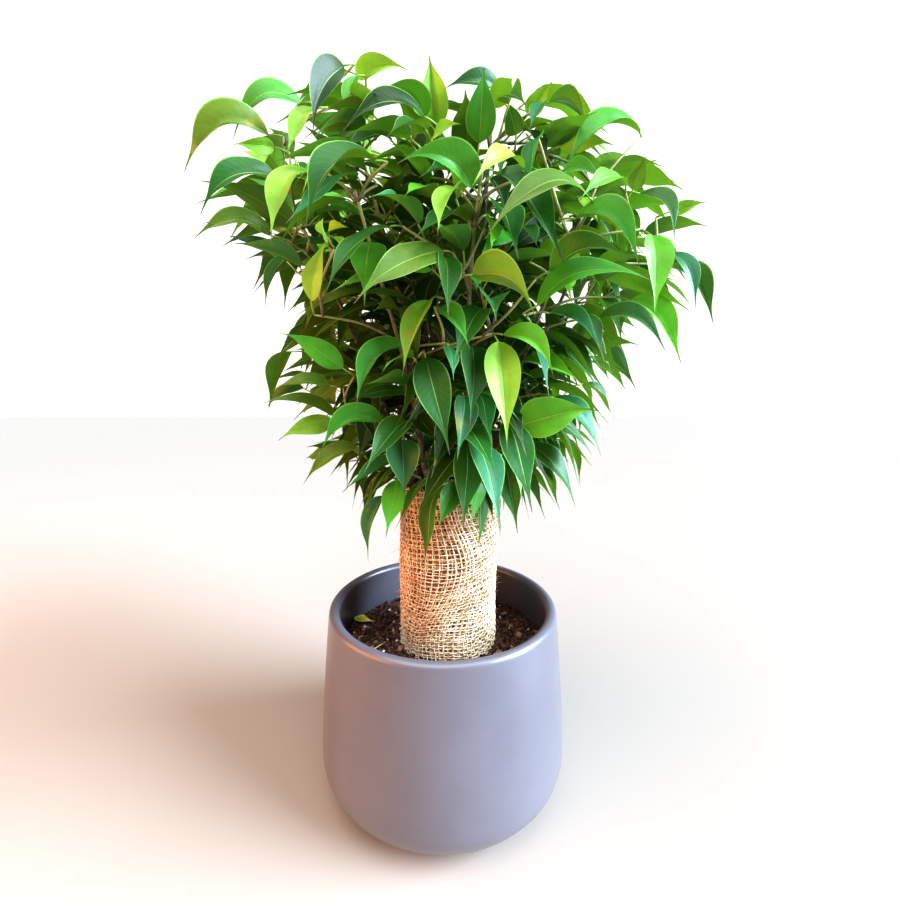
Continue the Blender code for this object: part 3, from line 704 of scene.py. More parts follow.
@dataclass
class Pot:
    """The glazed cover pot: a round lip, bulging sides and a wide rounded lower corner."""

    height: float = 113.0
    foot_radius: float = 33.0
    belly_radius: float = 75.0
    belly_height: float = 25.0
    lip_radius: float = 3.2
    mouth_radius: float = 62.5
    floor: float = 8.0
    corner_power: float = 2.15
    taper_power: float = 1.35
    foot_rings: Span = (0.3, 0.8)
    corner_steps: int = 16
    wall_steps: int = 11
    lip_steps: int = 12
    inner_corner_steps: int = 9
    inner_wall_steps: int = 8
    below_lip: float = 4.0
    sides: int = 144

    @property
    def wall(self) -> float:
        """Return the wall's thickness."""
        return 2 * self.lip_radius

    @property
    def lip_height(self) -> float:
        """Return the height of the lip's middle."""
        return self.height - self.lip_radius

    def radius(self, height: float) -> float:
        """Return the outer radius above the belly."""
        rise = (height - self.belly_height) / (self.lip_height - self.belly_height)
        outer = self.mouth_radius + self.wall
        return self.belly_radius + (outer - self.belly_radius) * rise ** self.taper_power

    def corner(self, foot: float, belly: float, bottom: float, top: float, count: int) -> list[Ring]:
        """Round the lower corner.

        Args:
            foot: Radius where it leaves the foot.
            belly: Radius where it meets the belly.
            bottom: Height of the foot.
            top: Height of the belly.
            count: How many steps it has.

        Returns:
            The corner's rings from the foot up.
        """
        rings = []
        for i in range(count + 1):
            angle = math.pi / 2 * i / count
            out = math.sin(angle) ** (2 / self.corner_power)
            rise = 1 - math.cos(angle) ** (2 / self.corner_power)
            rings.append((foot + (belly - foot) * out, bottom + (top - bottom) * rise))
        return rings

    def inside(self, inset: float, top: float, count: int) -> list[Ring]:
        """Follow the inner wall from the floor up.

        Args:
            inset: How far the rings stay off the wall.
            top: Height of the last ring.
            count: How many rings stand above the corner.

        Returns:
            The rings from the floor up.
        """
        belly = self.radius(self.belly_height) - self.wall - inset
        rings = self.corner(self.foot_radius - inset, belly, self.floor + inset,
                            self.belly_height + self.wall, self.inner_corner_steps)
        start = rings[-1][1]
        heights = [start + (top - start) * i / count for i in range(1, count + 1)]
        return rings + [(self.radius(height) - self.wall - inset, height) for height in heights]

    def build(self) -> Piece:
        """Raise the outside, roll the lip over and run down the inside."""
        rings = [(share * self.foot_radius, 0.0) for share in self.foot_rings]
        rings += self.corner(self.foot_radius, self.belly_radius, 0.0, self.belly_height, self.corner_steps)
        for i in range(1, self.wall_steps):
            height = self.belly_height + (self.lip_height - self.belly_height) * i / self.wall_steps
            rings.append((self.radius(height), height))
        for i in range(self.lip_steps + 1):
            angle = math.pi * i / self.lip_steps
            rings.append((self.mouth_radius + self.lip_radius + self.lip_radius * math.cos(angle),
                          self.lip_height + self.lip_radius * math.sin(angle)))
        rings += reversed(self.inside(0.0, self.lip_height - self.below_lip, self.inner_wall_steps))
        pot = turned("glazed_pot", rings, self.sides)
        dress(pot, GreyGlaze())
        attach(pot, "root")
        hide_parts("pot")
        return pot


@dataclass(frozen=True)
class Bits:
    """One kind of loose bits: how many, how large, how far stretched along each axis at most."""

    name: str
    count: int
    sizes: Span
    stretch: Triple
    finish: Finish
    boxy: bool = False


@dataclass
class Soil:
    """The mounded potting soil with the crumbs, chips and grains that lie on it."""

    pot: Pot
    level: float = 85.0
    mound: float = 6.0
    mound_reach: float = 42.0
    lump_height: float = 1.5
    lump_size: float = 11.0
    crumb_height: float = 1.1
    crumb_size: float = 3.4
    crumb_sink: float = 0.5
    fade: float = 3.0
    gap: float = 0.35
    bottom_radius: float = 20.0
    core_radius: float = 2.0
    wall_rings: int = 5
    ring_step: float = 0.9
    sides: int = 200
    sleeve_x: float = 4.0
    sleeve_room: float = 31.0
    wall_room: float = 1.5
    seed: int = 9
    litter: tuple[Bits, ...] = (
        Bits("soil_crumbs", 1500, (0.8, 2.4), (1.5, 1.2, 1.0), PottingSoil()),
        Bits("bark_chips", 210, (1.0, 2.6), (3.0, 1.7, 0.6), BarkChip(), boxy=True),
        Bits("perlite_grains", 60, (0.7, 2.2), (1.4, 1.2, 1.0), PERLITE),
    )
    bit_bevel: float = 0.14
    bit_lean: float = 0.6
    bit_jag: float = 0.18
    bit_lift: float = 0.25
    root_count: int = 70
    root_knots: int = 8
    root_step: float = 0.9
    root_curl: float = 0.5
    root_wave: float = 0.5
    root_wave_rate: float = 0.9
    root_radius: float = 0.22
    root_taper: float = 0.6
    # The middle, heading and length of each straw
    straws: tuple[tuple[float, float, float, float], ...] = (
        (-38.0, -11.0, 0.75, 9.0), (-47.0, -14.0, -0.5, 4.5), (44.0, 12.0, 1.2, 6.0),
        (20.0, 44.0, 0.2, 8.0), (-30.0, 38.0, 2.2, 6.0), (48.0, -18.0, 2.5, 5.0),
    )
    straw_lift: float = 1.1
    straw_slope: float = 0.10
    straw_knots: int = 6
    straw_radius: float = 0.45
    straw_taper: float = 0.4

    def edge(self) -> float:
        """Return the surface's outer radius."""
        return self.pot.radius(self.level) - self.pot.wall - self.gap

    def top(self, x: float, y: float) -> float:
        """Return the crumbly surface's height at a place."""
        distance = math.hypot(x, y)
        mound = self.level + self.mound * math.exp(-((distance / self.mound_reach) ** 2))
        place = Vector((x, y, 0.0))
        lumps = self.lump_height * noise.fractal(place / self.lump_size, 1.0, 2.0, 3)
        crumbs = self.crumb_height * noise.turbulence(place / self.crumb_size, 3, False) - self.crumb_sink
        inward = min(1.0, max(0.0, (self.edge() - distance) / self.fade))
        return mound + lumps * inward + crumbs

    def build(self) -> list[Piece]:
        """Make the soil and all that lies on it."""
        edge = self.edge()
        rings = [(self.bottom_radius, self.pot.floor + self.gap)]
        rings += self.pot.inside(self.gap, self.level, self.wall_rings)
        inward = int((edge - self.core_radius) / self.ring_step)
        rings += [(edge - self.ring_step * i, self.level) for i in range(1, inward + 1)]
        soil = turned("potting_soil", rings, self.sides)
        for vertex in soil.data.vertices:
            x, y, z = vertex.co / MM
            if z > self.level - 0.5:
                vertex.co.z = self.top(x, y) * MM
        dress(soil, PottingSoil())
        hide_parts("soil")
        return [soil, *self.strew()]

    def spot(self, draw: random.Random) -> Vector:
        """Draw a place on the soil that is clear of the sleeve."""
        while True:
            angle = draw.uniform(0.0, math.tau)
            distance = (self.edge() - self.wall_room) * math.sqrt(draw.random())
            x, y = distance * math.cos(angle), distance * math.sin(angle)
            if math.hypot(x - self.sleeve_x, y) > self.sleeve_room:
                return Vector((x, y, self.top(x, y)))

    def scatter(self, bits: Bits, draw: random.Random) -> Piece:
        """Strew copies of one bit over the soil.

        Args:
            bits: The kind of bits.
            draw: Where the random numbers come from.

        Returns:
            All copies as one piece.
        """
        deselect_all()
        if bits.boxy:
            bpy.ops.mesh.primitive_cube_add(size=1.0)
            bpy.ops.object.mode_set(mode="EDIT")
            bpy.ops.mesh.bevel(offset=self.bit_bevel, segments=1)
            bpy.ops.object.mode_set(mode="OBJECT")
        else:
            bpy.ops.mesh.primitive_ico_sphere_add(subdivisions=1, radius=0.5)
        base = bpy.context.active_object
        points = [vertex.co.copy() for vertex in base.data.vertices]
        sides = [tuple(face.vertices) for face in base.data.polygons]
        shapes = []
        for _ in range(bits.count):
            size = draw.uniform(*bits.sizes)
            axes = [1.0 + draw.random() * (most - 1.0) for most in bits.stretch]
            turn = Matrix.Rotation(draw.uniform(0.0, math.tau), 3, "Z")
            lean = Matrix.Rotation(draw.uniform(-self.bit_lean, self.bit_lean), 3, "X")
            spot = self.spot(draw)
            spot.z += self.bit_lift * size
            jags = [1.0 + draw.uniform(-self.bit_jag, self.bit_jag) for _ in points]
            copies = [turn @ (lean @ Vector(p * j * a * size for p, a in zip(point, axes))) + spot
                      for point, j in zip(points, jags)]
            shapes.append((copies, sides))
        bpy.data.objects.remove(base, do_unlink=True)
        piece = make_piece(bits.name, join_shapes(shapes), bits.finish)
        piece.data.shade_flat()
        return piece

    def strew(self) -> list[Piece]:
        """Strew crumbs, bark, grains and root bits, and lay the straws and the fallen leaf."""
        draw = random.Random(self.seed)
        pieces = [self.scatter(bits, draw) for bits in self.litter]
        pieces.append(threads("root_bits", self.root_lines(draw), self.root_radius, BarkChip(),
                              self.root_taper))
        pieces.append(threads("straws", self.straw_lines(), self.straw_radius, STRAW, self.straw_taper))
        return [*pieces, self.fallen_leaf()]

    def root_lines(self, draw: random.Random) -> Iterator[Line]:
        """Draw curled root bits, one line after another."""
        for _ in range(self.root_count):
            start = self.spot(draw)
            heading = draw.uniform(0.0, math.tau)
            curl = draw.uniform(-self.root_curl, self.root_curl)
            points = []
            for k in range(self.root_knots):
                reach = self.root_step * k
                x = start.x + reach * math.cos(heading + curl * k)
                y = start.y + reach * math.sin(heading + curl * k)
                if math.hypot(x, y) < self.edge() - 0.5:
                    wave = self.root_wave * math.sin(self.root_wave_rate * k)
                    points.append(Vector((x, y, self.top(x, y) + self.root_wave + wave)))
            if len(points) > 2:
                yield points, False

    def straw_lines(self) -> Iterator[Line]:
        """Lay the straws that show left of the sleeve and some on the other sides."""
        last = self.straw_knots - 1
        for x, y, heading, length in self.straws:
            points = []
            for k in range(self.straw_knots):
                reach = length * (k / last - 0.5)
                height = self.top(x, y) + self.straw_lift + self.straw_slope * reach
                points.append(Vector((x + reach * math.cos(heading), y + reach * math.sin(heading), height)))
            yield points, False

    def fallen_leaf(self) -> Piece:
        """Lay the curled yellow leaf on the left of the soil."""
        leaf = Leaf(twig=(), root=Vector((-60.5, 26.0, 90.8)), base=Vector((-59.0, 22.5, 88.9)),
                    tip=Vector((-45.5, 15.0, 90.5)), face=Vector((0.25, -0.35, 0.9)).normalized(),
                    bend=Vector((-0.8, -1.2, -1.6)), width=7.5)
        shape, _ = FINE_BLADE.spread(leaf, fold=0.75, sway=0.0, twist=0.5, curl=0.0)
        return make_piece("fallen_leaf", shape, YELLOWED)


# Growth

class Tone(Enum):
    """The greens that the plant's leaves show."""

    LIME = (0.28, 0.58, 0.070)
    BRIGHT = (0.135, 0.47, 0.044)
    GREEN = (0.060, 0.295, 0.034)
    DEEP = (0.017, 0.105, 0.018)
    OLIVE = (0.125, 0.220, 0.032)
    TEAL = (0.018, 0.155, 0.068)
    SHADE = (0.006, 0.032, 0.006)


TONE_LETTERS = {"L": Tone.LIME, "B": Tone.BRIGHT, "G": Tone.GREEN, "D": Tone.DEEP, "O": Tone.OLIVE,
                "T": Tone.TEAL, "K": Tone.SHADE}


# How far along a leaf it is measured
SAMPLE_SHARES = (0.15, 0.5, 0.85, 1.0)


@dataclass(frozen=True)
class Leaf:
    """A leaf: its stalk's root, its blade's base and tip, and how the blade faces, bends and spreads."""

    twig: tuple[Vector, ...]
    root: Vector
    base: Vector
    tip: Vector
    face: Vector
    bend: Vector
    width: float
    tone: Tone | None = None

    def at(self, share: float) -> Vector:
        """Return the point at a share of the midrib."""
        return self.base.lerp(self.tip, share) + self.bend * (4 * share * (1 - share))

    def samples(self) -> list[Vector]:
        """Return a few points along the midrib."""
        return [self.at(share) for share in SAMPLE_SHARES]


@dataclass(frozen=True)
class Wood:
    """A stem or twig: its name, the stem that it belongs to, its path and its end radii."""

    key: str
    stem: int
    path: tuple[Vector, ...]
    radii: Span
    sides: int

    def shape(self, swell: float = 0.0) -> Shape:
        """Return its plain solid, thickened by a swell."""
        last = len(self.path) - 1
        low, high = self.radii
        return tube(self.path, [low + (high - low) * i / last + swell for i in range(last + 1)], self.sides)

    def at(self, fraction: float) -> tuple[Vector, Vector]:
        """Return the point and direction at a fraction of the length."""
        lengths = [(b - a).length for a, b in zip(self.path, self.path[1:])]
        left = fraction * sum(lengths)
        for i, length in enumerate(lengths):
            if left <= length or i == len(lengths) - 1:
                first, second = self.path[i], self.path[i + 1]
                return first.lerp(second, min(1.0, left / length)), (second - first).normalized()
            left -= length
        raise ValueError("a path has at least two points")


@dataclass(frozen=True)
class Grown:
    """A shape that later growth must not cross."""

    key: str
    low: Vector
    high: Vector
    tree: BVHTree


@dataclass(frozen=True)
class StemRing:
    """A ring of equal stems in the sleeve."""

    count: int
    radius: float
    turn: float
    reach: float
    top: float


@dataclass(frozen=True)
class FrontLeaf:
    """A listed leaf, placed where the viewer sees it on the upright plane through the pot's axis.

    Base and tip are in millimetres, sag is how far the blade arches up, and tone is one of TONE_LETTERS.
    """

    x: float
    z: float
    tip_x: float
    tip_z: float
    width: float
    sag: float
    tone: str


@dataclass(frozen=True)
class SprayRule:
    """How sprays of leaves spread over the crown.

    They are numbered from first in one even spread. Shell is how far out they end, as shares of the
    crown's reach, and fractions are the places of the side leaves along each twig.
    """

    first: int
    count: int
    shell: Span
    fractions: tuple[float, ...]


@dataclass
class Habit:
    """The plant's habit, with the values that the solids are grown from."""

    seed: int = 9
    sleeve_x: float = 4.0
    sleeve_guard: float = 30.4
    sleeve_foot: float = 80.0
    sleeve_top: float = 186.0
    sleeve_sides: int = 32
    rings: tuple[StemRing, ...] = (
        StemRing(count=8, radius=21.5, turn=0.2, reach=0.62, top=332.0),
        StemRing(count=4, radius=11.0, turn=0.6, reach=0.42, top=368.0),
        StemRing(count=1, radius=0.0, turn=3.0, reach=0.10, top=372.0),
    )
    stem_foot: float = 74.0
    stem_radii: Span = (2.3, 1.0)
    stem_sides: int = 5
    stem_stations: int = 8
    stem_spreads_at: float = 178.0
    stem_flare: float = 1.25
    stem_wave: float = 2.2
    stem_wave_rate: float = 5.0
    stem_uneven: float = 12.0
    stem_uneven_rate: float = 2.7
    twig_radii: Span = (1.15, 0.8)
    twig_sides: int = 3
    twig_stations: tuple[float, ...] = (0.0, 0.5, 1.0)
    twig_shortest: float = 7.0
    twig_lead: float = 4.5
    twig_lead_most: float = 0.9
    twig_tries: int = 40
    twig_drop_charge: float = 2.5
    twig_rise: float = 6.0
    twig_arch: float = 0.45
    twig_follow: float = 0.5
    twig_spacing: float = 7.0
    leaf_thickness: float = 1.3
    leaf_fold: float = 0.12
    leaf_bow: float = 0.09
    leaf_thinning: float = 0.35
    stalk_length: float = 7.0
    stalk_half: float = 0.55
    stalk_pull: Triple = (0.7, 0.4, 0.25)
    root_sink: float = 0.4
    blade_stations: tuple[Span, ...] = ((0.0, 0.10), (0.38, 1.0), (0.80, 0.36))
    clearance: float = 0.45
    crown_depth: float = 0.76
    crown_back: float = 0.92
    crown_base: float = 190.0
    crown_top: float = 402.0
    least_reach: float = 8.0
    shown_slender: float = 0.36
    front_depth: float = 0.92
    front_base_depth: float = 0.86
    front_lean_out: float = 2.0
    front_level: float = 0.2
    front_depth_step: float = 3.0
    front_tries: int = 16
    spray_turn: float = 0.7548777
    spray_rise: float = 0.5698403
    spray_draw_in: float = 0.22
    stem_leaves: tuple[float, ...] = (0.56, 0.68, 0.80, 0.90, 0.97)
    young_from: float = 0.7
    leaf_length: Span = (33.0, 43.0)
    young_length: Span = (24.0, 31.0)
    leaf_slender: float = 0.40
    slender_spread: Span = (0.92, 1.08)
    leaf_bend: Span = (0.07, 0.15)
    leaf_swing: Span = (0.25, 1.1)
    leaf_roll: float = 0.5
    leaf_outward: float = 0.8
    leaf_faces_out: float = 0.6
    stalk_up: float = 0.9
    stalk_along: float = 0.3
    droop_low_down: float = 62.0
    droop_lost: float = 48.0
    droop_spread: Span = (-24.0, 22.0)
    left_lift: float = 0.0
    stem_leaf_swing: float = 1.4
    twig_end_swing: float = 0.3
    leaf_tries: int = 10
    look_behind: float = 90.0
    solid_sprays: SprayRule = SprayRule(0, 72, (0.40, 0.96), (0.45, 0.80))


# How far the leaves reach to the left and right at each height, as the viewer sees it
OUTLINE_HEIGHTS = (140, 160, 178, 207, 234, 262, 278, 292, 312, 328, 346, 365, 387, 397, 407, 419)
OUTLINE_LEFT = (-45, -48, -62, -86, -106, -98, -88, -102, -124, -137, -138, -139, -104, -94, -74, -50)
OUTLINE_RIGHT = (25, 46, 79, 93, 106, 124, 141, 154, 153, 151, 146, 118, 108, 74, 50, -5)

# The leaves that show most, which the solids have too
FRONT_LEAVES = tuple(FrontLeaf(*values) for values in (
    (32, 269, 38, 215, 21, 0, "L"), (-10, 260, 3, 211, 22, 0, "D"), (0, 319, -46, 296, 18, 3, "O"),
    (-7, 292, -22, 255, 13, 0, "L"), (46, 221, 87, 231, 24, 2, "B"), (17, 306, 50, 287, 18, 14, "O"),
    (35, 273, 62, 253, 12, 10, "B"), (17, 352, -21, 366, 17, 14, "G"), (20, 375, 22, 411, 17, 0, "G"),
    (-3, 384, -7, 417, 15, 0, "L"), (81, 347, 29, 331, 15, 14, "O"), (117, 327, 121, 289, 15, 0, "B"),
    (-24, 212, -23, 181, 20, 0, "T"), (-27, 188, -34, 157, 15, 0, "B"),
    (-36, 224, -70, 207, 13, 12, "G"), (-95, 379, -138, 364, 12, 13, "O"),
    (-76, 395, -111, 380, 10, 12, "G"), (-92, 358, -131, 342, 11, 9, "D"),
    (-53, 413, -69, 384, 15, 8, "K"), (-72, 360, -94, 330, 12, 9, "L"),
    (-37, 366, -73, 337, 12, 12, "D"), (-75, 292, -66, 324, 11, 0, "L"), (-10, 388, -50, 384, 9, 8, "K"),
    (-10, 388, -31, 402, 12, 8, "G"), (44, 361, 19, 356, 8, 9, "L"), (8, 352, -2, 331, 12, 0, "L"),
    (107, 380, 69, 362, 12, 12, "G"), (64, 373, 91, 375, 11, 2, "L"), (105, 351, 111, 368, 10, 0, "O"),
    (46, 389, 58, 405, 10, 0, "L"), (61, 308, 102, 316, 13, 11, "D"), (54, 289, 112, 305, 13, 12, "G"),
    (74, 336, 108, 314, 12, 11, "G"), (128, 310, 153, 283, 9, 5, "D"), (128, 318, 143, 292, 8, 4, "T"),
    (107, 292, 136, 261, 11, 4, "B"), (89, 282, 126, 266, 9, 9, "D"), (61, 285, 89, 267, 9, 4, "T"),
    (65, 237, 92, 207, 11, 5, "T"), (50, 210, 78, 176, 12, 5, "D"), (37, 202, 45, 161, 15, 0, "D"),
    (8, 186, -2, 161, 13, 0, "G"), (21, 194, 17, 161, 9, 0, "G"), (-36, 178, -45, 142, 9, 2, "T"),
    (-64, 222, -95, 214, 12, 3, "L"), (-63, 225, -105, 234, 8, 3, "O"), (-66, 244, -97, 243, 8, 2, "O"),
    (-58, 254, -90, 274, 14, 2, "B"), (-21, 266, -48, 237, 12, 11, "G"), (-2, 288, 14, 269, 11, 2, "G"),
    (0, 317, 3, 288, 13, 0, "D"), (109, 349, 128, 327, 9, 7, "D"), (127, 340, 145, 345, 7, 0, "L"),
    (57, 395, 77, 384, 9, 6, "D"), (30, 400, 3, 403, 9, 3, "D"), (40, 379, 35, 396, 11, 0, "D"),
    (-46, 407, -21, 412, 10, 4, "L"), (-96, 327, -136, 327, 9, 9, "O"), (-85, 317, -100, 291, 8, 3, "D"),
    (-29, 332, -64, 300, 9, 3, "D"), (-92, 373, -113, 375, 8, 0, "L"), (-51, 208, -81, 189, 9, 3, "O"),
    (-69, 392, -84, 372, 8, 2, "L"), (101, 353, 78, 348, 8, 6, "B"), (66, 361, 88, 357, 8, 2, "G"),
))

# Smaller leaves that only the looks have
SMALL_FRONT_LEAVES = tuple(FrontLeaf(*values) for values in (
    (77, 347, 86, 336, 7, 0, "L"), (3, 267, 6, 250, 8, 0, "T"), (54, 378, 48, 356, 9, 0, "T"),
    (-46, 408, -52, 390, 8, 0, "G"), (-5, 378, 9, 385, 6, 0, "L"), (55, 395, 48, 384, 7, 0, "T"),
    (44, 202, 47, 180, 7, 0, "L"), (-64, 326, -66, 337, 4, 0, "L"), (-64, 326, -53, 332, 4, 0, "L"),
    (-64, 326, -54, 318, 4, 0, "L"),
))


def outline(height: float) -> Span:
    """Return how far left and right the viewer sees the crown reach at a height."""
    return (interpolate(height, OUTLINE_HEIGHTS, OUTLINE_LEFT),
            interpolate(height, OUTLINE_HEIGHTS, OUTLINE_RIGHT))


def box_of(points: Sequence[Vector]) -> tuple[Vector, Vector]:
    """Return the low and high corner of the box round some points."""
    return (Vector([min(point[axis] for point in points) for axis in range(3)]),
            Vector([max(point[axis] for point in points) for axis in range(3)]))


def flat_out(point: Vector, middle: float) -> Vector:
    """Return the level unit vector from the crown's axis towards a point."""
    out = Vector((point.x - middle, point.y, 0.0))
    return out.normalized() if out.length > 1.0 else FRONT.copy()


def seen_place(point: Vector) -> Vector:
    """Return where the viewer sees a point on the upright plane through the axis."""
    share = -EYE.y / (point.y - EYE.y)
    return EYE + (point - EYE) * share


def view_place(x: float, z: float, depth: float) -> Vector:
    """Return the point at a depth that the viewer sees at (x, z) on the plane through the axis."""
    seen = Vector((x, 0.0, z))
    return EYE + (seen - EYE) * ((depth - EYE.y) / -EYE.y)


def blade_frame(direction: Vector, face: Vector) -> tuple[Vector, Vector]:
    """Return the unit vectors across a blade and out of its upper face."""
    side = direction.cross(face).normalized()
    return side, side.cross(direction).normalized()


class Crown:
    """Everything grown so far, and the rule by which more grows."""

    CELL = 30.0
    HIDE_SHARES = (0.2, 0.4, 0.6, 0.8, 1.0)

    def __init__(self, habit: Habit) -> None:
        """Start with nothing grown."""
        self.habit = habit
        self.grown: list[Grown] = []
        self.cells: dict[tuple[int, int, int], set[int]] = {}
        self.woods: list[Wood] = []
        self.leaves: list[tuple[int, Leaf]] = []
        self.shown: BVHTree | None = None
        self.box: tuple[Span, ...] = ()

    def boxes(self, low: Vector, high: Vector) -> Iterator[tuple[int, int, int]]:
        """Name the cells of space that a box touches."""
        spans = [range(int(low[axis] // self.CELL), int(high[axis] // self.CELL) + 1) for axis in range(3)]
        for x in spans[0]:
            for y in spans[1]:
                for z in spans[2]:
                    yield x, y, z

    def crosses(self, shape: Shape, skip: tuple[str, ...] = ()) -> bool:
        """Tell whether a shape crosses what has grown.

        Args:
            shape: Vertices and faces to test.
            skip: Names of grown shapes that it may touch.

        Returns:
            True where it crosses anything else.
        """
        vertices, faces = shape
        low, high = box_of(vertices)
        near = set().union(*(self.cells.get(cell, ()) for cell in self.boxes(low, high)))
        tree = None
        for number in near:
            piece = self.grown[number]
            if piece.key in skip:
                continue
            if any(low[axis] > piece.high[axis] or high[axis] < piece.low[axis] for axis in range(3)):
                continue
            tree = tree or BVHTree.FromPolygons(vertices, faces)
            if tree.overlap(piece.tree):
                return True
        return False

    def keep(self, key: str, shape: Shape) -> None:
        """Remember a shape under a name."""
        vertices, faces = shape
        low, high = box_of(vertices)
        for cell in self.boxes(low, high):
            self.cells.setdefault(cell, set()).add(len(self.grown))
        self.grown.append(Grown(key, low, high, BVHTree.FromPolygons(vertices, faces)))

    def forget_last(self) -> None:
        """Forget the shape that was kept last."""
        piece = self.grown.pop()
        for cell in self.boxes(piece.low, piece.high):
            self.cells[cell].discard(len(self.grown))

    def show(self, leaves: Iterable[Leaf]) -> None:
        """Join the listed leaves in one tree, which later leaves must not hide."""
        self.shown = BVHTree.FromPolygons(*join_shapes(self.leaf_shape(leaf) for leaf in leaves))

    def hides(self, leaf: Leaf) -> bool:
        """Tell whether a leaf stands before one of the listed leaves."""
        for share in self.HIDE_SHARES:
            point = leaf.base.lerp(leaf.tip, share)
            away = (point - EYE).normalized()
            if self.shown.ray_cast(point + away, away, self.habit.look_behind)[0] is not None:
                return True
        return False

    def settle_box(self) -> None:
        """Note the level box that the leaves fill, which later leaves stay in."""
        low, high = box_of([point for _, leaf in self.leaves for point in leaf.samples()])
        self.box = ((low.x, high.x), (low.y, high.y))

    def beyond_box(self, leaf: Leaf) -> bool:
        """Tell whether a leaf reaches out of the box that was noted."""
        return any(not low < point[axis] < high for point in leaf.samples()
                   for axis, (low, high) in enumerate(self.box))

    def keep_off_sleeve(self) -> None:
        """Keep leaves and twigs off the outside of the sleeve, whose mouth stays open for the stems."""
        habit = self.habit
        ends = (habit.sleeve_foot, habit.sleeve_top)
        vertices, faces = loft([level_ring(habit.sleeve_x, habit.sleeve_guard, z, habit.sleeve_sides)
                                for z in ends])
        self.keep("sleeve", (vertices, faces[1:-1]))

    def grow_stems(self) -> None:
        """Grow the stems ring by ring."""
        habit = self.habit
        number = 0
        for ring in habit.rings:
            for i in range(ring.count):
                number += 1
                angle = ring.turn + math.tau * i / ring.count
                away = polar(angle)
                foot = Vector((habit.sleeve_x, 0.0, habit.stem_foot)) + away * ring.radius
                lift = ring.top + habit.stem_uneven * math.sin(habit.stem_uneven_rate * number)
                reach = ring.reach * self.radius(angle, lift)
                path = [foot, Vector((foot.x, foot.y, habit.stem_spreads_at))]
                for k in range(1, habit.stem_stations - 1):
                    t = k / (habit.stem_stations - 2)
                    out = ring.radius + (reach - ring.radius) * t ** habit.stem_flare
                    wave = habit.stem_wave * math.sin(habit.stem_wave_rate * t + number)
                    swing = Vector((-away.y, away.x, 0.0)) * wave
                    height = habit.stem_spreads_at + (lift - habit.stem_spreads_at) * t
                    path.append(Vector((habit.sleeve_x, 0.0, height)) + away * out + swing * min(1.0, 2 * t))
                stem = Wood(f"stem_{number:02d}", number, tuple(path), habit.stem_radii, habit.stem_sides)
                self.keep(stem.key, stem.shape())
                self.woods.append(stem)

    def wood_places(self) -> list[tuple[Vector, Vector, Wood]]:
        """Return points along all the wood above the sleeve, each with its direction and its wood."""
        places = []
        for wood in self.woods:
            for first, second in zip(wood.path, wood.path[1:]):
                steps = max(1, int((second - first).length / self.habit.twig_spacing))
                for k in range(steps):
                    point = first.lerp(second, (k + 0.5) / steps)
                    if point.z > self.habit.sleeve_top + 1.0:
                        places.append((point, (second - first).normalized(), wood))
        return places

    def grow_shoot(self, leaf: Leaf) -> Wood | None:
        """Place a leaf on a twig of its own.

        Args:
            leaf: The leaf at the twig's end.

        Returns:
            The twig, or None where there is no room for the leaf or no clear way to it.
        """
        habit = self.habit
        if self.crosses(self.leaf_shape(leaf, habit.clearance)):
            return None
        leaf_key = f"leaf_{len(self.leaves):03d}"
        end = leaf.root
        self.keep(leaf_key, self.leaf_shape(leaf))

        def cost(place: tuple[Vector, Vector, Wood]) -> float:
            """Return how far a place is, with a charge for one above the leaf."""
            drop = max(0.0, place[0].z - end.z + habit.twig_rise)
            return (end - place[0]).length + habit.twig_drop_charge * drop

        for point, along, parent in sorted(self.wood_places(), key=cost)[:habit.twig_tries]:
            length = (end - point).length
            if length < habit.twig_shortest:
                continue
            heading = (along * habit.twig_follow + (end - point).normalized()).normalized()
            control = point + heading * (habit.twig_arch * length)
            path = [curve_point(point, control, end, t) for t in habit.twig_stations]
            key = f"twig_{len(self.woods):03d}"
            twig = Wood(key, parent.stem, tuple(path), habit.twig_radii, habit.twig_sides)
            lead = min(habit.twig_lead_most, habit.twig_lead / (path[1] - path[0]).length)
            free = replace(twig, path=(path[0].lerp(path[1], lead), *path[1:]))
            if not self.crosses(free.shape(habit.clearance), (leaf_key,)):
                self.keep(key, twig.shape())
                self.woods.append(twig)
                self.leaves.append((twig.stem, replace(leaf, twig=tuple(path[:-1]))))
                return twig
        self.forget_last()
        return None

    def leaf_shape(self, leaf: Leaf, swell: float = 0.0, from_stalk: float = 0.0) -> Shape:
        """Make the plain solid of a leaf with its stalk and twig.

        Args:
            leaf: The leaf.
            swell: How much thicker than the leaf it is.
            from_stalk: The share of the stalk that is left out at its root.

        Returns:
            The solid's vertices and faces.
        """
        habit = self.habit
        line = leaf.tip - leaf.base
        woody = list(leaf.twig) + [leaf.root.lerp(leaf.base, from_stalk), leaf.base]
        side, _ = blade_frame((line + leaf.bend * 4).normalized(), leaf.face)
        sections = []
        for i in range(len(woody) - 2, -1, -1):
            direction = (woody[i + 1] - woody[max(i - 1, 0)]).normalized()
            side = (side - direction * side.dot(direction)).normalized()
            up = side.cross(direction)
            half = (habit.twig_radii[0] if i + 2 < len(woody) else habit.stalk_half) + swell
            upper = woody[i] + up * (0.5 * half)
            sections.insert(0, [upper - side * half, upper + side * half, woody[i] - up * half])
        for t, spread in habit.blade_stations:
            centre = leaf.base + line * t + leaf.bend * (4 * t * (1 - t))
            direction = (line + leaf.bend * (4 - 8 * t)).normalized()
            side, up = blade_frame(direction, leaf.face)
            half = max(habit.stalk_half, 0.5 * leaf.width * spread) + swell
            thick = habit.leaf_thickness * (1.0 - habit.leaf_thinning * t) + swell
            lift = up * (half * habit.leaf_fold + swell)
            sections.append([centre - side * half + lift, centre + side * half + lift, centre - up * thick])
        return loft(sections, leaf.tip)

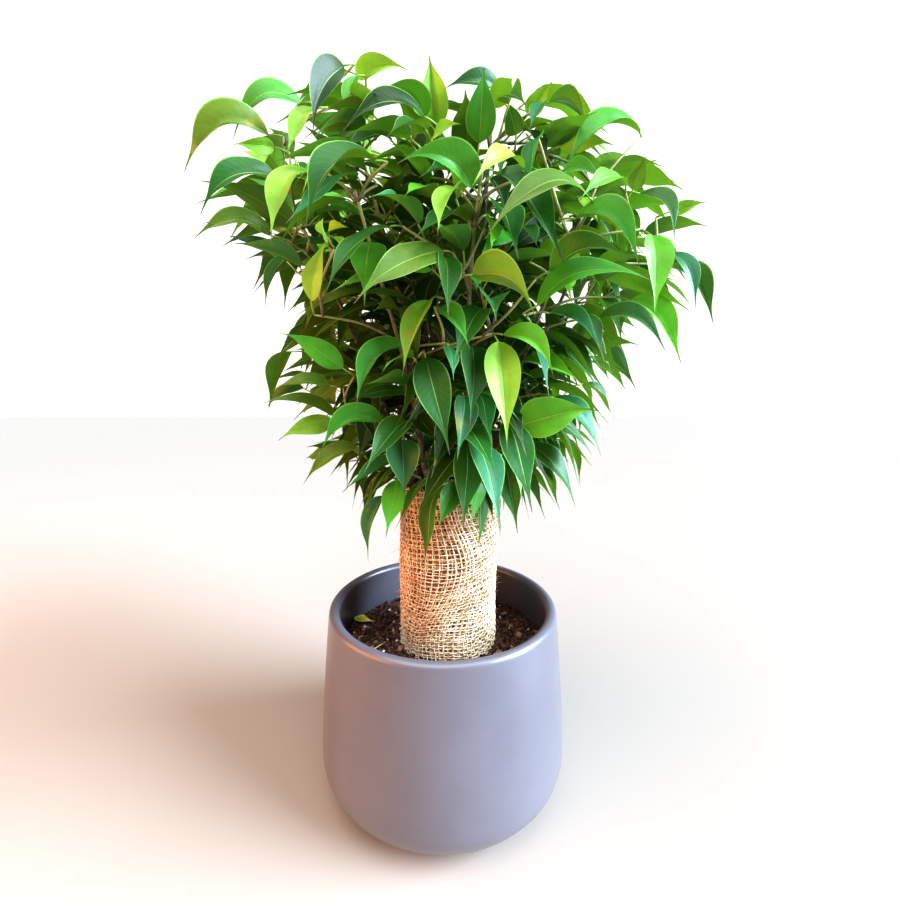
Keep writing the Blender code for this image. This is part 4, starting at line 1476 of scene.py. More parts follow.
    def depth(self, x: float, z: float) -> float:
        """Return the depth of the crown's front where the viewer sees (x, z)."""
        left, right = outline(z)
        half = 0.5 * (right - left)
        aside = min(1.0, abs(x - 0.5 * (left + right)) / half)
        return -self.habit.crown_depth * half * math.sqrt(1.0 - aside ** 2) * self.habit.front_depth

    def shown_leaf(self, entry: FrontLeaf, shift: float) -> Leaf:
        """Work out a listed leaf.

        Args:
            entry: Where the viewer sees it.
            shift: How far it goes back from the crown's front.

        Returns:
            The leaf.
        """
        habit = self.habit
        middle = self.depth(0.5 * (entry.x + entry.tip_x), 0.5 * (entry.z + entry.tip_z)) + shift
        base = view_place(entry.x, entry.z, habit.front_base_depth * middle + habit.front_lean_out)
        tip = view_place(entry.tip_x, entry.tip_z, middle - habit.front_lean_out)
        scale = (middle - EYE.y) / -EYE.y
        line = (tip - base).normalized()
        to_eye = (EYE - base.lerp(tip, 0.5)).normalized()
        towards = (to_eye - line * to_eye.dot(line)).normalized()
        beside = line.cross(towards).normalized()
        out = flat_out(tip, habit.sleeve_x)
        if beside.z < 0 or (abs(beside.z) < habit.front_level and beside.dot(out) < 0):
            beside = -beside
        width = entry.width * scale
        full = max(width, habit.shown_slender * (tip - base).length)
        lean = min(1.0, width / full)
        face = towards * lean + beside * math.sqrt(1.0 - lean ** 2)
        bend = beside * (entry.sag * scale) + face * (habit.leaf_bow * (tip - base).length)
        along, outward, upward = habit.stalk_pull
        into = line * along + flat_out(base, habit.sleeve_x) * outward + Vector((0.0, 0.0, upward))
        root = base - into.normalized() * habit.stalk_length
        return Leaf((), root, base, tip, face.normalized(), bend, full, TONE_LETTERS[entry.tone])

    def grow_front_leaves(self, entries: Iterable[FrontLeaf]) -> None:
        """Place listed leaves one by one, each going back along the line of sight until nothing crosses it.
        """
        for entry in entries:
            for attempt in range(self.habit.front_tries):
                if self.grow_shoot(self.shown_leaf(entry, attempt * self.habit.front_depth_step)):
                    break

    def radius(self, angle: float, height: float) -> float:
        """Return how far the crown reaches from its axis in a direction at a height."""
        habit = self.habit
        left, right = outline(height)
        aside = right - habit.sleeve_x if math.cos(angle) > 0 else habit.sleeve_x - left
        deep = (habit.crown_depth if math.sin(angle) < 0 else habit.crown_back) * 0.5 * (right - left)
        aside, deep = max(aside, habit.least_reach), max(deep, habit.least_reach)
        return 1.0 / math.hypot(math.cos(angle) / aside, math.sin(angle) / deep)

    def inside_outline(self, point: Vector) -> bool:
        """Tell whether the viewer sees a point within the crown's outline."""
        seen = seen_place(point)
        if not OUTLINE_HEIGHTS[0] < seen.z < OUTLINE_HEIGHTS[-1]:
            return False
        left, right = outline(seen.z)
        return left < seen.x < right

    def ruled_leaf(self, draw: random.Random, place: Vector, along: Vector, turn: float,
                   young: bool) -> Leaf:
        """Draw a leaf at random within the rule.

        Args:
            draw: Where the random numbers come from.
            place: Where its stalk leaves the wood.
            along: The wood's direction there.
            turn: Which way, and how far, it may swing to the side.
            young: Whether it is one of the shorter young leaves.

        Returns:
            The leaf.
        """
        habit = self.habit
        rise = (place.z - habit.crown_base) / (habit.crown_top - habit.crown_base)
        out = (flat_out(place, habit.sleeve_x) * habit.leaf_outward + along).normalized()
        side = out.cross(UP).normalized()
        swing = turn * draw.uniform(*habit.leaf_swing)
        level = out * math.cos(swing) + side * math.sin(swing)
        level.z = 0.0
        level.normalize()
        sag = habit.droop_low_down - habit.droop_lost * rise - habit.left_lift * max(0.0, -out.x)
        droop = math.radians(sag + draw.uniform(*habit.droop_spread))
        heading = level * math.cos(droop) - Vector((0.0, 0.0, math.sin(droop)))
        length = draw.uniform(*(habit.young_length if young else habit.leaf_length))
        lift = (heading + Vector((0.0, 0.0, habit.stalk_up)) + along * habit.stalk_along).normalized()
        base = place + lift * habit.stalk_length
        place = place - lift * habit.root_sink
        tip = base + heading * length
        roll = draw.uniform(-habit.leaf_roll, habit.leaf_roll)
        face = UP + flat_out(tip, habit.sleeve_x) * habit.leaf_faces_out + side * roll
        face = (face - heading * face.dot(heading)).normalized()
        bend = face * (length * draw.uniform(*habit.leaf_bend))
        width = length * habit.leaf_slender * draw.uniform(*habit.slender_spread)
        return Leaf((), place, base, tip, face, bend, width)

    def misplaced(self, leaf: Leaf) -> bool:
        """Tell whether a leaf shows outside the crown's outline or hides a listed leaf."""
        if self.box and self.beyond_box(leaf):
            return True
        middle = leaf.base.lerp(leaf.tip, 0.5) + leaf.bend
        return not (self.inside_outline(leaf.tip) and self.inside_outline(middle)) or self.hides(leaf)

    def grow_side_leaf(self, draw: random.Random, wood: Wood, fraction: float, turn: float) -> None:
        """Grow a leaf on the side of a twig or stem, if one of a few draws is clear.

        Args:
            draw: Where the random numbers come from.
            wood: The twig or stem.
            fraction: How far along it the leaf grows.
            turn: Which way, and how far, the leaf may swing to the side.
        """
        place, along = wood.at(fraction)
        for _ in range(self.habit.leaf_tries):
            leaf = self.ruled_leaf(draw, place, along, turn, False)
            if self.misplaced(leaf) or self.crosses(self.leaf_shape(leaf, self.habit.clearance, 0.5)):
                continue
            if self.crosses(self.leaf_shape(leaf, self.habit.clearance), (wood.key,)):
                continue
            self.keep(f"leaf_{len(self.leaves):03d}", self.leaf_shape(leaf))
            self.leaves.append((wood.stem, leaf))
            return

    def grow_stem_leaves(self, draw: random.Random) -> None:
        """Grow leaves straight from the upper part of each stem."""
        for stem in [wood for wood in self.woods if wood.key.startswith("stem")]:
            for k, fraction in enumerate(self.habit.stem_leaves):
                swing = self.habit.stem_leaf_swing * (-1) ** (k + stem.stem)
                self.grow_side_leaf(draw, stem, fraction, swing)

    def grow_sprays(self, draw: random.Random, rule: SprayRule) -> None:
        """Grow twigs with a few leaves each, spread evenly round and up the crown.

        Args:
            draw: Where the random numbers come from.
            rule: Which sprays and how they sit.
        """
        habit = self.habit
        for number in range(rule.first, rule.first + rule.count):
            angle = math.tau * ((number * habit.spray_turn) % 1.0)
            share = ((number + 0.5) * habit.spray_rise) % 1.0
            height = habit.crown_base + (habit.crown_top - habit.crown_base) * share
            for _ in range(habit.leaf_tries):
                shell = draw.uniform(*rule.shell) * (1.0 - habit.spray_draw_in * max(0.0, -math.sin(angle)))
                reach = self.radius(angle, height) * shell
                end = polar(angle, reach, height, habit.sleeve_x)
                out = flat_out(end, habit.sleeve_x)
                leaf = self.ruled_leaf(draw, end, out, habit.twig_end_swing, share > habit.young_from)
                twig = None if self.misplaced(leaf) else self.grow_shoot(leaf)
                if twig:
                    for k, fraction in enumerate(rule.fractions):
                        self.grow_side_leaf(draw, twig, fraction, (-1) ** k)
                    break

    def grow(self) -> None:
        """Grow all that the solids have, in the order that they grow."""
        self.keep_off_sleeve()
        self.grow_stems()
        self.grow_front_leaves(FRONT_LEAVES)
        self.show(leaf for _, leaf in self.leaves)
        draw = random.Random(self.habit.seed)
        self.grow_stem_leaves(draw)
        self.grow_sprays(draw, self.habit.solid_sprays)


# The fine plant

@dataclass
class Blade:
    """The pattern of a leaf's blade: a grid that is cut to the outline and bent onto each leaf."""

    rows: int
    columns: int
    crowding: float = 1.12
    places: tuple[float, ...] = (
        0.0, 0.04, 0.10, 0.18, 0.28, 0.38, 0.48, 0.58, 0.68, 0.76, 0.83, 0.89, 0.94, 1.0)
    widths: tuple[float, ...] = (
        0.06, 0.36, 0.63, 0.85, 0.98, 1.0, 0.93, 0.79, 0.58, 0.37, 0.18, 0.09, 0.05, 0.015)
    drip: float = 1.09
    drip_power: int = 6
    drip_from: float = 0.76
    drip_hang: float = 1.0
    rib_slip: float = 0.34
    full_arc: float = 0.16
    dish: float = 0.22
    waves_along: float = 9.0
    waves_across: float = 2.0
    twist_from: float = 0.3
    grid: list[Span] = field(default_factory=list)
    faces: list[tuple[int, ...]] = field(default_factory=list)

    def model(self) -> None:
        """Take the pattern from a grid primitive, with its rows closer together towards the stalk."""
        deselect_all()
        bpy.ops.mesh.primitive_grid_add(x_subdivisions=self.columns, y_subdivisions=self.rows, size=2.0)
        sheet = bpy.context.active_object
        for vertex in sheet.data.vertices:
            along = min(1.0, max(0.0, (vertex.co.y + 1.0) / 2.0))
            self.grid.append((vertex.co.x, round(along ** self.crowding, 6)))
        self.faces = [tuple(face.vertices) for face in sheet.data.polygons]
        bpy.data.objects.remove(sheet, do_unlink=True)

    def spread(self, leaf: Leaf, fold: float, sway: float, twist: float,
               curl: float) -> tuple[Shape, list[Span]]:
        """Bend the pattern onto a leaf.

        Args:
            leaf: The leaf.
            fold: How far the two halves rise from the midrib.
            sway: How far the margins wave.
            twist: How far the tip turns about the midrib, in radians.
            curl: How far the blade arches up first and down at its tip, as a share of its length.

        Returns:
            The blade's shape, and its map as (across, along) from 0 to 1 for each vertex.
        """
        if not self.grid:
            self.model()
        line = leaf.tip - leaf.base
        length = line.length
        frames = {}
        flat_side, _ = blade_frame(line.normalized(), leaf.face)
        arc = flat_side.dot(leaf.bend) / (self.full_arc * length)
        slip = -self.rib_slip * max(-1.0, min(1.0, arc))
        for t in sorted({along for _, along in self.grid}):
            share = interpolate(t, self.places, self.widths)
            late = max(0.0, t - self.drip_from)
            reach = t + (self.drip - 1.0) * t ** self.drip_power
            centre = leaf.base + line * reach + leaf.bend * (4 * t * (1 - t))
            centre += leaf.face * (curl * length * math.sin(math.tau * t))
            centre -= UP * (self.drip_hang * length * late * late)
            slope = line + leaf.bend * (4 - 8 * t)
            slope += leaf.face * (curl * length * math.tau * math.cos(math.tau * t))
            side, up = blade_frame(slope.normalized(), leaf.face)
            angle = twist * max(0.0, t - self.twist_from)
            turned_side = side * math.cos(angle) + up * math.sin(angle)
            turned_up = up * math.cos(angle) - side * math.sin(angle)
            frames[t] = (centre, turned_side, turned_up, 0.5 * leaf.width * share)
        points = []
        places = []
        for s, t in self.grid:
            centre, side, up, half = frames[t]
            wave = math.sin(self.waves_along * t + self.waves_across * s)
            rise = fold * abs(s) - self.dish * s * s + sway * s * s * wave
            points.append(centre + side * (half * (s + slip * (1.0 - s * s))) + up * (half * rise))
            places.append((0.5 + 0.5 * s, t))
        return (points, self.faces), places


PLAIN_BLADE = Blade(rows=11, columns=4)
FINE_BLADE = Blade(rows=22, columns=6)

STALK_COLOUR: Colour = (0.22, 0.36, 0.08)

# The tones of each part of the crown, each with the share of its leaves up to there
# The heart's leaves are mostly painted shade, darker than the leaves around them
HEART_SHADE_TONES = ((0.60, Tone.SHADE), (1.0, Tone.DEEP))
# The top's lime and bright leaves are partly the young growth's own colour and partly painted light
TOP_YOUNG_AND_LIT_TONES = ((0.22, Tone.LIME), (0.46, Tone.BRIGHT))
# The left side's leaves are painted olive for the warm light on them; the right side's are painted darker
# and teal to suit the strong cool window light
LEFT_WARM_LIGHT_TONES = ((0.62, Tone.OLIVE),)
RIGHT_COOL_LIGHT_TONES = ((0.50, Tone.DEEP), (0.64, Tone.TEAL))
OTHER_TONES = ((1 / 6, Tone.DEEP), (3 / 6, Tone.GREEN), (4 / 6, Tone.TEAL), (5 / 6, Tone.DEEP),
               (1.0, Tone.BRIGHT))


class Foliage:
    """Bark and leaves that become one piece, with what their vertices and faces carry."""

    def __init__(self) -> None:
        """Start with nothing."""
        self.shapes: list[Shape] = []
        self.youth: list[float] = []
        self.sun: list[float] = []
        self.colours: list[Colour] = []
        self.places: list[Span] = []
        self.leafy: list[bool] = []

    def add(self, shape: Shape, youth: Sequence[float] | None = None, colour: Colour = STALK_COLOUR,
            sun: float = 0.0, places: Sequence[Span] | None = None, leafy: bool = True) -> None:
        """Add a shape.

        Args:
            shape: Its vertices and faces.
            youth: How young the wood is at each vertex, or None for all young.
            colour: The leaf's colour, or that of a stalk.
            sun: How much of it the sun has burnt.
            places: Each vertex's place on the blade's map, or None for a stalk.
            leafy: Whether it wears the leaf's finish.
        """
        count = len(shape[0])
        self.shapes.append(shape)
        self.youth += youth or [1.0] * count
        self.sun += [sun] * count
        self.colours += [colour] * count
        self.places += places or [(0.5, 0.5)] * count
        self.leafy += [leafy] * len(shape[1])

    def piece(self, name: str) -> Piece:
        """Make the piece with all that it carries."""
        piece = make_piece(name, join_shapes(self.shapes), FigBark())
        mesh = piece.data
        mesh.materials.append(FigLeaf().material())
        mesh.polygons.foreach_set("material_index", [int(leafy) for leafy in self.leafy])
        mesh.attributes.new("youth", "FLOAT", "POINT").data.foreach_set("value", self.youth)
        mesh.attributes.new("sun", "FLOAT", "POINT").data.foreach_set("value", self.sun)
        paint = mesh.attributes.new("leaf_colour", "FLOAT_COLOR", "POINT")
        paint.data.foreach_set("color", [value for colour in self.colours for value in (*colour, 1.0)])
        corners = [value for loop in mesh.loops for value in self.places[loop.vertex_index]]
        mesh.uv_layers.new(name="blade").data.foreach_set("uv", corners)
        return piece


@dataclass
class Plant:
    """The leafy stems, each one piece of bark, twigs, stalks and leaves."""

    habit: Habit = field(default_factory=Habit)
    seed: int = 41
    outer_sprays: SprayRule = SprayRule(72, 210, (0.36, 0.90), (0.25, 0.42, 0.60, 0.80))
    inner_sprays: SprayRule = SprayRule(282, 240, (0.05, 0.56), (0.30, 0.55, 0.80))
    inner_top: float = 352.0
    # Within this reach of the axis, below heart_top, leaves are painted dark as shade
    heart: float = 60.0
    heart_top: float = 0.85
    # Above this share of the crown's height leaves take the top's lime and bright tones, partly painted
    # light
    bright_from: float = 0.68
    # Leaves beyond this far to either side take the painted warm and cool light
    flank: float = 35.0
    left_top: float = 0.50
    right_top: float = 0.78
    bright_spread: Span = (0.82, 1.18)
    warm_spread: Span = (0.88, 1.14)
    stem_sides: int = 9
    stem_steps: int = 5
    stem_radii: Span = (1.9, 0.7)
    stem_youth: Span = (0.0, 0.8)
    twig_sides: int = 6
    twig_steps: int = 4
    twig_radii: Span = (0.80, 0.50)
    twig_youth: Span = (0.45, 0.55)
    swell: float = 0.06
    swell_size: float = 6.0
    stalk_radius: float = 0.42
    stalk_foot: float = 1.2
    stalk_bow: float = 0.3
    stalk_sides: int = 5
    arc_share: float = 0.78
    fold: Span = (0.25, 1.0)
    sway: Span = (0.02, 0.14)
    twist: Span = (-0.6, 0.6)
    curl: Span = (-0.01, 0.035)
    olive_burnt: float = 0.5
    other_burnt: float = 0.10
    burn: Span = (0.3, 0.9)
    fillers: int = 30
    filler_turn: float = 2.4
    filler_reach: float = 24.5
    filler_foot: float = 82.0
    filler_lean: float = 2.0
    filler_length: Span = (100.0, 128.0)
    filler_bow: float = 1.5
    filler_radii: Span = (1.3, 2.1)
    filler_sides: int = 7
    filler_steps: int = 8
    filler_swell: float = 0.1
    filler_swell_size: float = 5.0

    def build(self) -> list[Piece]:
        """Grow the plant and make a piece for each stem, and the thin stems between them."""
        crown = Crown(self.habit)
        crown.grow()
        shared = len(crown.leaves)
        draw = random.Random(self.seed)
        crown.grow_front_leaves(SMALL_FRONT_LEAVES)
        crown.show(leaf for _, leaf in crown.leaves if leaf.tone)
        crown.settle_box()
        crown.habit = replace(self.habit, leaf_roll=1.1, leaf_slender=0.37, leaf_length=(25.0, 41.0),
                              leaf_swing=(0.2, 1.4), droop_low_down=46.0, droop_lost=36.0,
                              droop_spread=(-36.0, 26.0), left_lift=30.0, crown_top=374.0)
        crown.grow_sprays(draw, self.outer_sprays)
        crown.habit = replace(crown.habit, crown_top=self.inner_top)
        crown.grow_sprays(draw, self.inner_sprays)
        log.info("grew %d leaves as the solids have and %d more", shared, len(crown.leaves) - shared)
        stems = [wood for wood in crown.woods if wood.key.startswith("stem")]
        return [self.build_stem(stem, crown) for stem in stems] + [self.build_fillers()]

    def tone_of(self, middle: Vector, pick: float) -> Tone:
        """Choose a leaf's green by where it grows, with painted shade in the heart and painted light on the
        sides and top.

        Args:
            middle: The leaf's middle.
            pick: A random number from 0 to 1.

        Returns:
            The leaf's tone.
        """
        habit = self.habit
        rise = (middle.z - habit.crown_base) / (habit.crown_top - habit.crown_base)
        inner = math.hypot(middle.x - habit.sleeve_x, middle.y) < self.heart
        zones = ((inner and rise < self.heart_top, HEART_SHADE_TONES),
                 (rise > self.bright_from, TOP_YOUNG_AND_LIT_TONES),
                 (middle.x < -self.flank and rise < self.left_top, LEFT_WARM_LIGHT_TONES),
                 (middle.x > self.flank and rise < self.right_top, RIGHT_COOL_LIGHT_TONES),
                 (True, OTHER_TONES))
        return next(tone for holds, tones in zones if holds for share, tone in tones if pick < share)

    def colour_of(self, leaf: Leaf, draw: random.Random) -> Colour:
        """Return a leaf's colour, its tone varied a little."""
        tone = leaf.tone or self.tone_of(leaf.base.lerp(leaf.tip, 0.5), draw.random())
        bright = draw.uniform(*self.bright_spread)
        warm = draw.uniform(*self.warm_spread)
        red, green, blue = tone.value
        return red * bright * warm, green * bright, blue * bright / warm

    def build_stem(self, stem: Wood, crown: Crown) -> Piece:
        """Make one stem with all that grows on it.

        Args:
            stem: The stem.
            crown: The grown crown.

        Returns:
            The piece that stands for the stem's solid.
        """
        draw = random.Random(self.seed + stem.stem)
        foliage = Foliage()
        for wood in crown.woods:
            if wood.stem == stem.stem:
                self.add_wood(foliage, wood, wood.key == stem.key)
        for owner, leaf in crown.leaves:
            if owner == stem.stem:
                self.add_leaf(foliage, leaf, draw)
        piece = foliage.piece(f"fig_{stem.key}")
        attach(piece, "root")
        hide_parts(stem.key)
        return piece

    def add_wood(self, foliage: Foliage, wood: Wood, main: bool) -> None:
        """Add a stem or a twig.

        Args:
            foliage: What it is added to.
            wood: The stem or twig.
            main: Whether it is the stem.
        """
        path = smooth_path(wood.path, self.stem_steps if main else self.twig_steps)
        sides = self.stem_sides if main else self.twig_sides
        low, high = self.stem_radii if main else self.twig_radii
        youngest, more = self.stem_youth if main else self.twig_youth
        last = len(path) - 1
        radii = [(low + (high - low) * i / last)
                 * (1.0 + self.swell * noise.noise(point / self.swell_size))
                 for i, point in enumerate(path)]
        shape = tube(path, radii, sides)
        youth = [youngest + more * (i // sides) / last for i in range(len(shape[0]))]
        foliage.add(shape, youth, leafy=False)

    def add_leaf(self, foliage: Foliage, leaf: Leaf, draw: random.Random) -> None:
        """Add a leaf with its stalk.

        Args:
            foliage: What it is added to.
            leaf: The leaf.
            draw: Where the random numbers come from.
        """
        elbow = leaf.root.lerp(leaf.base, 0.5) + leaf.face * self.stalk_bow
        radii = [self.stalk_radius * self.stalk_foot, self.stalk_radius, self.stalk_radius]
        foliage.add(tube([leaf.root, elbow, leaf.base], radii, self.stalk_sides))
        blade = FINE_BLADE if leaf.tone else PLAIN_BLADE
        flatter = replace(leaf, bend=leaf.bend * self.arc_share)
        shape, places = blade.spread(flatter, fold=draw.uniform(*self.fold), sway=draw.uniform(*self.sway),
                                     twist=draw.uniform(*self.twist), curl=draw.uniform(*self.curl))
        burnt = self.olive_burnt if leaf.tone is Tone.OLIVE else self.other_burnt
        sun = draw.uniform(*self.burn) if draw.random() < burnt else 0.0
        foliage.add(shape, colour=self.colour_of(leaf, draw), sun=sun, places=places)

    def build_fillers(self) -> Piece:
        """Stand the thin cut stems that fill the sleeve between the leafy ones."""
        draw = random.Random(self.seed)
        lean, bow = self.filler_lean, self.filler_bow
        shapes = []
        for i in range(self.fillers):
            angle = self.filler_turn * i
            reach = self.filler_reach * math.sqrt((i + 0.5) / self.fillers)
            foot = polar(angle, reach, self.filler_foot, self.habit.sleeve_x)
            head = foot + Vector((draw.uniform(-lean, lean), draw.uniform(-lean, lean),
                                  draw.uniform(*self.filler_length)))
            middle = foot.lerp(head, 0.5) + Vector((draw.uniform(-bow, bow), draw.uniform(-bow, bow), 0.0))
            path = [curve_point(foot, middle, head, k / self.filler_steps)
                    for k in range(self.filler_steps + 1)]
            radius = draw.uniform(*self.filler_radii)
            radii = [radius * (1.0 + self.filler_swell * noise.noise(point / self.filler_swell_size))
                     for point in path]
            shapes.append(tube(path, radii, self.filler_sides))
        piece = make_piece("fig_inner_stems", join_shapes(shapes), FigBark())
        piece.data.attributes.new("youth", "FLOAT", "POINT")
        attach(piece, "root")
        return piece


# The jute sleeve

@dataclass
class JuteSleeve:
    """The jute net that is wound round the stems: a close inner turn and an outer turn of real threads."""

    x: float = 4.0
    radius: float = 28.6
    foot: float = 80.0
    top: float = 186.0
    warps: int = 62
    wefts: int = 47
    close_foot: float = 0.70
    thread: float = 0.33
    weave: float = 0.34
    uneven: float = 0.38
    fray: Span = (-0.004, 0.03)
    outer_lift: float = 0.5
    inner_lift: float = -0.9
    cloth_lift: float = -2.2
    cloth_columns: int = 96
    cloth_rows: int = 40
    noise_round: float = 1.3
    noise_up: float = 2.4
    noise_turn: float = 7.0
    drift: Span = (0.12, 0.26)
    wind: float = 0.24
    wind_from: float = 0.12
    bulge: float = 0.7
    bulge_rate: float = 1.7
    foot_lean: float = 1.2
    tilt: float = 6.5
    tilt_turn: float = 1.75
    tilt_foot: float = 0.3
    sway: float = 3.0
    sway_from: Triple = (5.0, 1.0, 2.0)
    fibres: int = 900
    fibre: float = 0.09
    fibre_taper: float = 0.7
    fibre_lift: float = 0.6
    long_every: int = 12
    long_fibre: Span = (4.0, 11.0)
    short_fibre: Span = (1.2, 3.6)
    fibre_out: Span = (0.15, 0.9)
    fibre_aside: Span = (-1.0, 1.0)
    fibre_rise: Span = (-0.8, 0.8)
    fibre_curl: float = 0.35
    curl_rise: Span = (-1.0, 0.4)
    fibre_knots: tuple[float, ...] = (0.0, 0.33, 0.66, 1.0)
    seed: int = 23

    def place(self, angle: float, share: float, lift: float, turn: int = 0) -> Vector:
        """Find a place on the sleeve.

        Args:
            angle: Where round the axis.
            share: How far up, from 0 to 1.
            lift: How far off the sleeve's surface.
            turn: Which turn of the net, as each hangs its own way.

        Returns:
            The place in millimetres.
        """
        around = polar(angle, self.noise_round, self.noise_up * share + self.noise_turn * turn)
        low, high = self.drift
        drift = noise.noise(around) * (low + (high - low) * share)
        wind = self.wind * math.cos(math.tau * (share - self.wind_from))
        sway = self.sway * noise.noise(around + Vector(self.sway_from))
        tilt = self.tilt * math.sin(angle + self.tilt_turn)
        tilt *= self.tilt_foot + (1.0 - self.tilt_foot) * share
        slant = math.sin(math.pi * share) * (tilt + sway)
        reach = self.radius + lift + self.bulge * noise.noise(around * self.bulge_rate)
        height = self.foot + (self.top - self.foot) * share + slant
        return polar(angle + drift - wind, reach, height, self.x - self.foot_lean * (1.0 - share))

    def lines(self, turn: int, lift: float) -> Iterator[Line]:
        """Weave one turn of the net, thread after thread.

        Args:
            turn: Which turn.
            lift: How far it lies off the sleeve's surface.

        Yields:
            Each thread's points, and whether it closes.
        """
        draw = random.Random(self.seed + turn)
        for row in range(self.wefts + 1):
            rise = (row + draw.uniform(-self.uneven, self.uneven)) / self.wefts
            share = min(1.0, max(0.0, rise * (self.close_foot + (1.0 - self.close_foot) * rise)))
            points = []
            for k in range(2 * self.warps):
                over = self.weave * (1 if (k + 2 * row) % 4 < 2 else -1)
                angle = math.pi * (k + 0.5 * turn) / self.warps
                points.append(self.place(angle, share, lift + over, turn))
            yield points, True
        for column in range(self.warps):
            aside = draw.uniform(-self.uneven, self.uneven)
            angle = math.tau * (column + 0.5 * turn + aside) / self.warps
            fray = draw.uniform(*self.fray)
            points = []
            for k in range(2 * self.wefts + 1):
                under = -self.weave * (1 if (k + 2 * column) % 4 < 2 else -1)
                share = k / (2 * self.wefts) * (1.0 + fray)
                points.append(self.place(angle, share, lift + under, turn))
            yield points, False

    def build(self) -> list[Piece]:
        """Make the cloth, the threads and the stray fibres."""
        cloth = self.build_cloth()
        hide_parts("sleeve")
        outer = threads("jute_net", self.lines(0, self.outer_lift), self.thread, Jute())
        inner = threads("jute_inner_net", self.lines(1, self.inner_lift), self.thread, Jute())
        fuzz = threads("jute_fibres", self.fuzz(), self.fibre, Jute(), self.fibre_taper)
        pieces = [cloth, outer, inner, fuzz]
        for piece in pieces:
            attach(piece, "root")
        girth = math.tau * (self.radius + self.cloth_lift) * MM
        (self.top - self.foot) * MM
        return pieces

    def build_cloth(self) -> Piece:
        """Roll the close inner turn from a grid."""
        deselect_all()
        bpy.ops.mesh.primitive_grid_add(x_subdivisions=self.cloth_columns, y_subdivisions=self.cloth_rows,
                                        size=2.0)
        cloth = bpy.context.active_object
        cloth.name = cloth.data.name = "jute_cloth"
        mesh = cloth.data
        chart = mesh.uv_layers.new(name="cloth")
        for loop in mesh.loops:
            x, y, _ = mesh.vertices[loop.vertex_index].co
            chart.data[loop.index].uv = (x * math.pi * self.radius, y * (self.top - self.foot) / 2)
        for vertex in mesh.vertices:
            angle = vertex.co.x * math.pi
            share = (vertex.co.y + 1.0) / 2
            vertex.co = self.place(angle, share, self.cloth_lift, 2) * MM
        choose(cloth)
        bpy.ops.object.mode_set(mode="EDIT")
        bpy.ops.mesh.select_all(action="SELECT")
        bpy.ops.mesh.remove_doubles(threshold=0.00005)
        bpy.ops.mesh.normals_make_consistent(inside=False)
        bpy.ops.object.mode_set(mode="OBJECT")
        dress(cloth, JuteCloth())
        return cloth

    def fuzz(self) -> Iterator[Line]:
        """Draw stray fibres that stand off the threads, some of them long."""
        draw = random.Random(self.seed)
        for number in range(self.fibres):
            angle = draw.uniform(0.0, math.tau)
            share = draw.uniform(0.0, 1.0)
            length = draw.uniform(*(self.short_fibre if number % self.long_every else self.long_fibre))
            start = self.place(angle, share, self.fibre_lift)
            out = polar(angle)
            aside = UP.cross(out)
            heading = (out * draw.uniform(*self.fibre_out) + aside * draw.uniform(*self.fibre_aside)
                       + UP * draw.uniform(*self.fibre_rise)).normalized()
            curl = aside * draw.uniform(*self.fibre_aside) + UP * draw.uniform(*self.curl_rise)
            curl *= self.fibre_curl * length
            yield [start + heading * (length * t) + curl * (t * t) for t in self.fibre_knots], False


# Camera, light and floor

class LightKind(Enum):
    """The kinds of light that the studio has."""

    SUN = "SUN"
    AREA = "AREA"


@dataclass(frozen=True)
class Light:
    """A light that shines against a way: its width is in degrees for a sun and in metres for a square."""

    name: str
    kind: LightKind
    way: Triple
    power: float
    width: float
    colour: Colour
    place: Triple = (0.0, 0.0, 0.0)

    def build(self) -> None:
        """Hang the light."""
        light = bpy.data.lights.new(self.name, self.kind.value)
        light.energy = self.power
        light.color = self.colour
        if self.kind is LightKind.SUN:
            light.angle = math.radians(self.width)
        else:
            light.size = self.width
        lamp = link(self.name, light)
        lamp.location = self.place
        lamp.rotation_euler = Vector(self.way).to_track_quat("Z", "Y").to_euler()


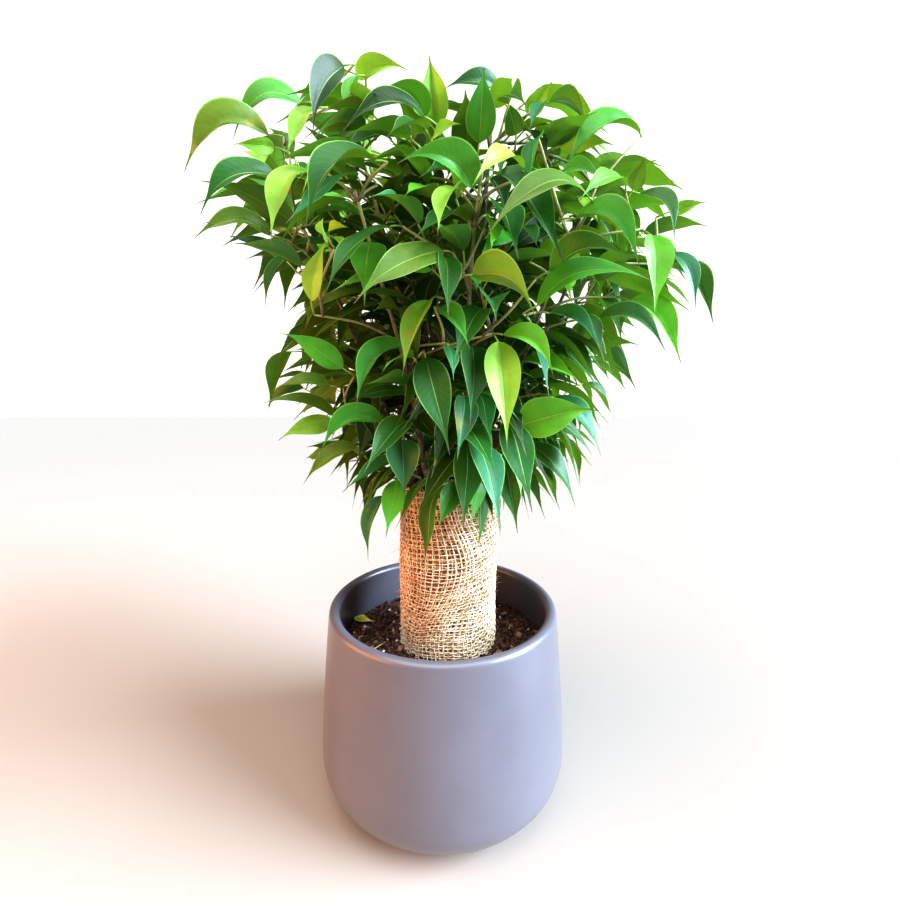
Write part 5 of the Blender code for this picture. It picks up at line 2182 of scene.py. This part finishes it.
@dataclass
class Studio:
    """The plain floor, the soft lights and the camera."""

    focal_length: float = 17.76
    sensor: float = 36.0
    look_down: float = 7.6
    shift: float = 0.0082
    floor_size: float = 8.0
    wall_colour: Colour = (0.93, 0.90, 0.87)
    air_colour: Colour = (1.0, 0.97, 0.93)
    air: float = 0.145
    lights: tuple[Light, ...] = (
        Light("window", LightKind.SUN, (0.92, -0.24, 0.46), 11.2, 40.0, (0.67, 0.81, 1.0)),
        Light("ceiling", LightKind.SUN, (-0.10, -0.40, 0.90), 3.1, 70.0, (0.95, 0.98, 1.0)),
        Light("warm_wall", LightKind.AREA, (-0.95, -0.35, 0.06), 15.5, 0.9, (1.0, 0.35, 0.09),
              place=(-0.95, -0.35, 0.20)),
    )

    def build(self) -> None:
        """Set up the floor, the lights and the camera."""
        deselect_all()
        bpy.ops.mesh.primitive_plane_add(size=self.floor_size, location=(0.0, 0.0, 0.0))
        floor = bpy.context.active_object
        floor.name = floor.data.name = "studio_floor"
        dress(floor, StudioFloor())
        floor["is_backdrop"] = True
        self.build_air()
        for light in self.lights:
            light.build()
        view = bpy.context.scene.view_settings
        view.view_transform = "Standard"
        view.look = "High Contrast"
        self.build_camera()

    def build_air(self) -> None:
        """Fill the room with dim even light before a wall that looks near white."""
        world = bpy.data.worlds.new("studio_air")
        world.use_nodes = True
        tree = world.node_tree
        seen = tree.nodes.new("ShaderNodeLightPath")
        wall = tree.nodes.new("ShaderNodeBackground")
        wall.inputs["Color"].default_value = (*self.wall_colour, 1.0)
        wall.inputs["Strength"].default_value = 1.0
        air = tree.nodes["Background"]
        air.inputs["Color"].default_value = (*self.air_colour, 1.0)
        air.inputs["Strength"].default_value = self.air
        both = tree.nodes.new("ShaderNodeMixShader")
        tree.links.new(seen.outputs["Is Camera Ray"], both.inputs[0])
        tree.links.new(air.outputs[0], both.inputs[1])
        tree.links.new(wall.outputs[0], both.inputs[2])
        tree.links.new(both.outputs[0], tree.nodes["World Output"].inputs["Surface"])
        bpy.context.scene.world = world

    def build_camera(self) -> None:
        """Set the camera where the photograph was taken from."""
        data = bpy.data.cameras.new("camera")
        data.lens = self.focal_length
        data.sensor_width = self.sensor
        data.shift_x = self.shift
        data.clip_start = 0.01
        camera = link("camera", data)
        camera.location = EYE * MM
        camera.rotation_euler = (math.radians(90.0 - self.look_down), 0.0, 0.0)
        bpy.context.scene.camera = camera


def main() -> None:
    """Build every piece in order and report it."""
    logging.basicConfig(level=logging.INFO, format="%(message)s")
    Studio().build()
    pot = Pot()
    pieces = [pot.build()]
    soil = Soil(pot).build()
    for piece in soil:
        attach(piece, "root")
    pieces += soil
    pieces += JuteSleeve().build()
    pieces += Plant().build()
    for piece in pieces:
        log.info("%s: %d faces", piece.name, len(piece.data.polygons))
    boxes = {"cad": CAD_BOX, "visual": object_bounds()}
    {name: [list(corner) for corner in box] for name, box in boxes.items()}


if __name__ == "__main__":
    main()
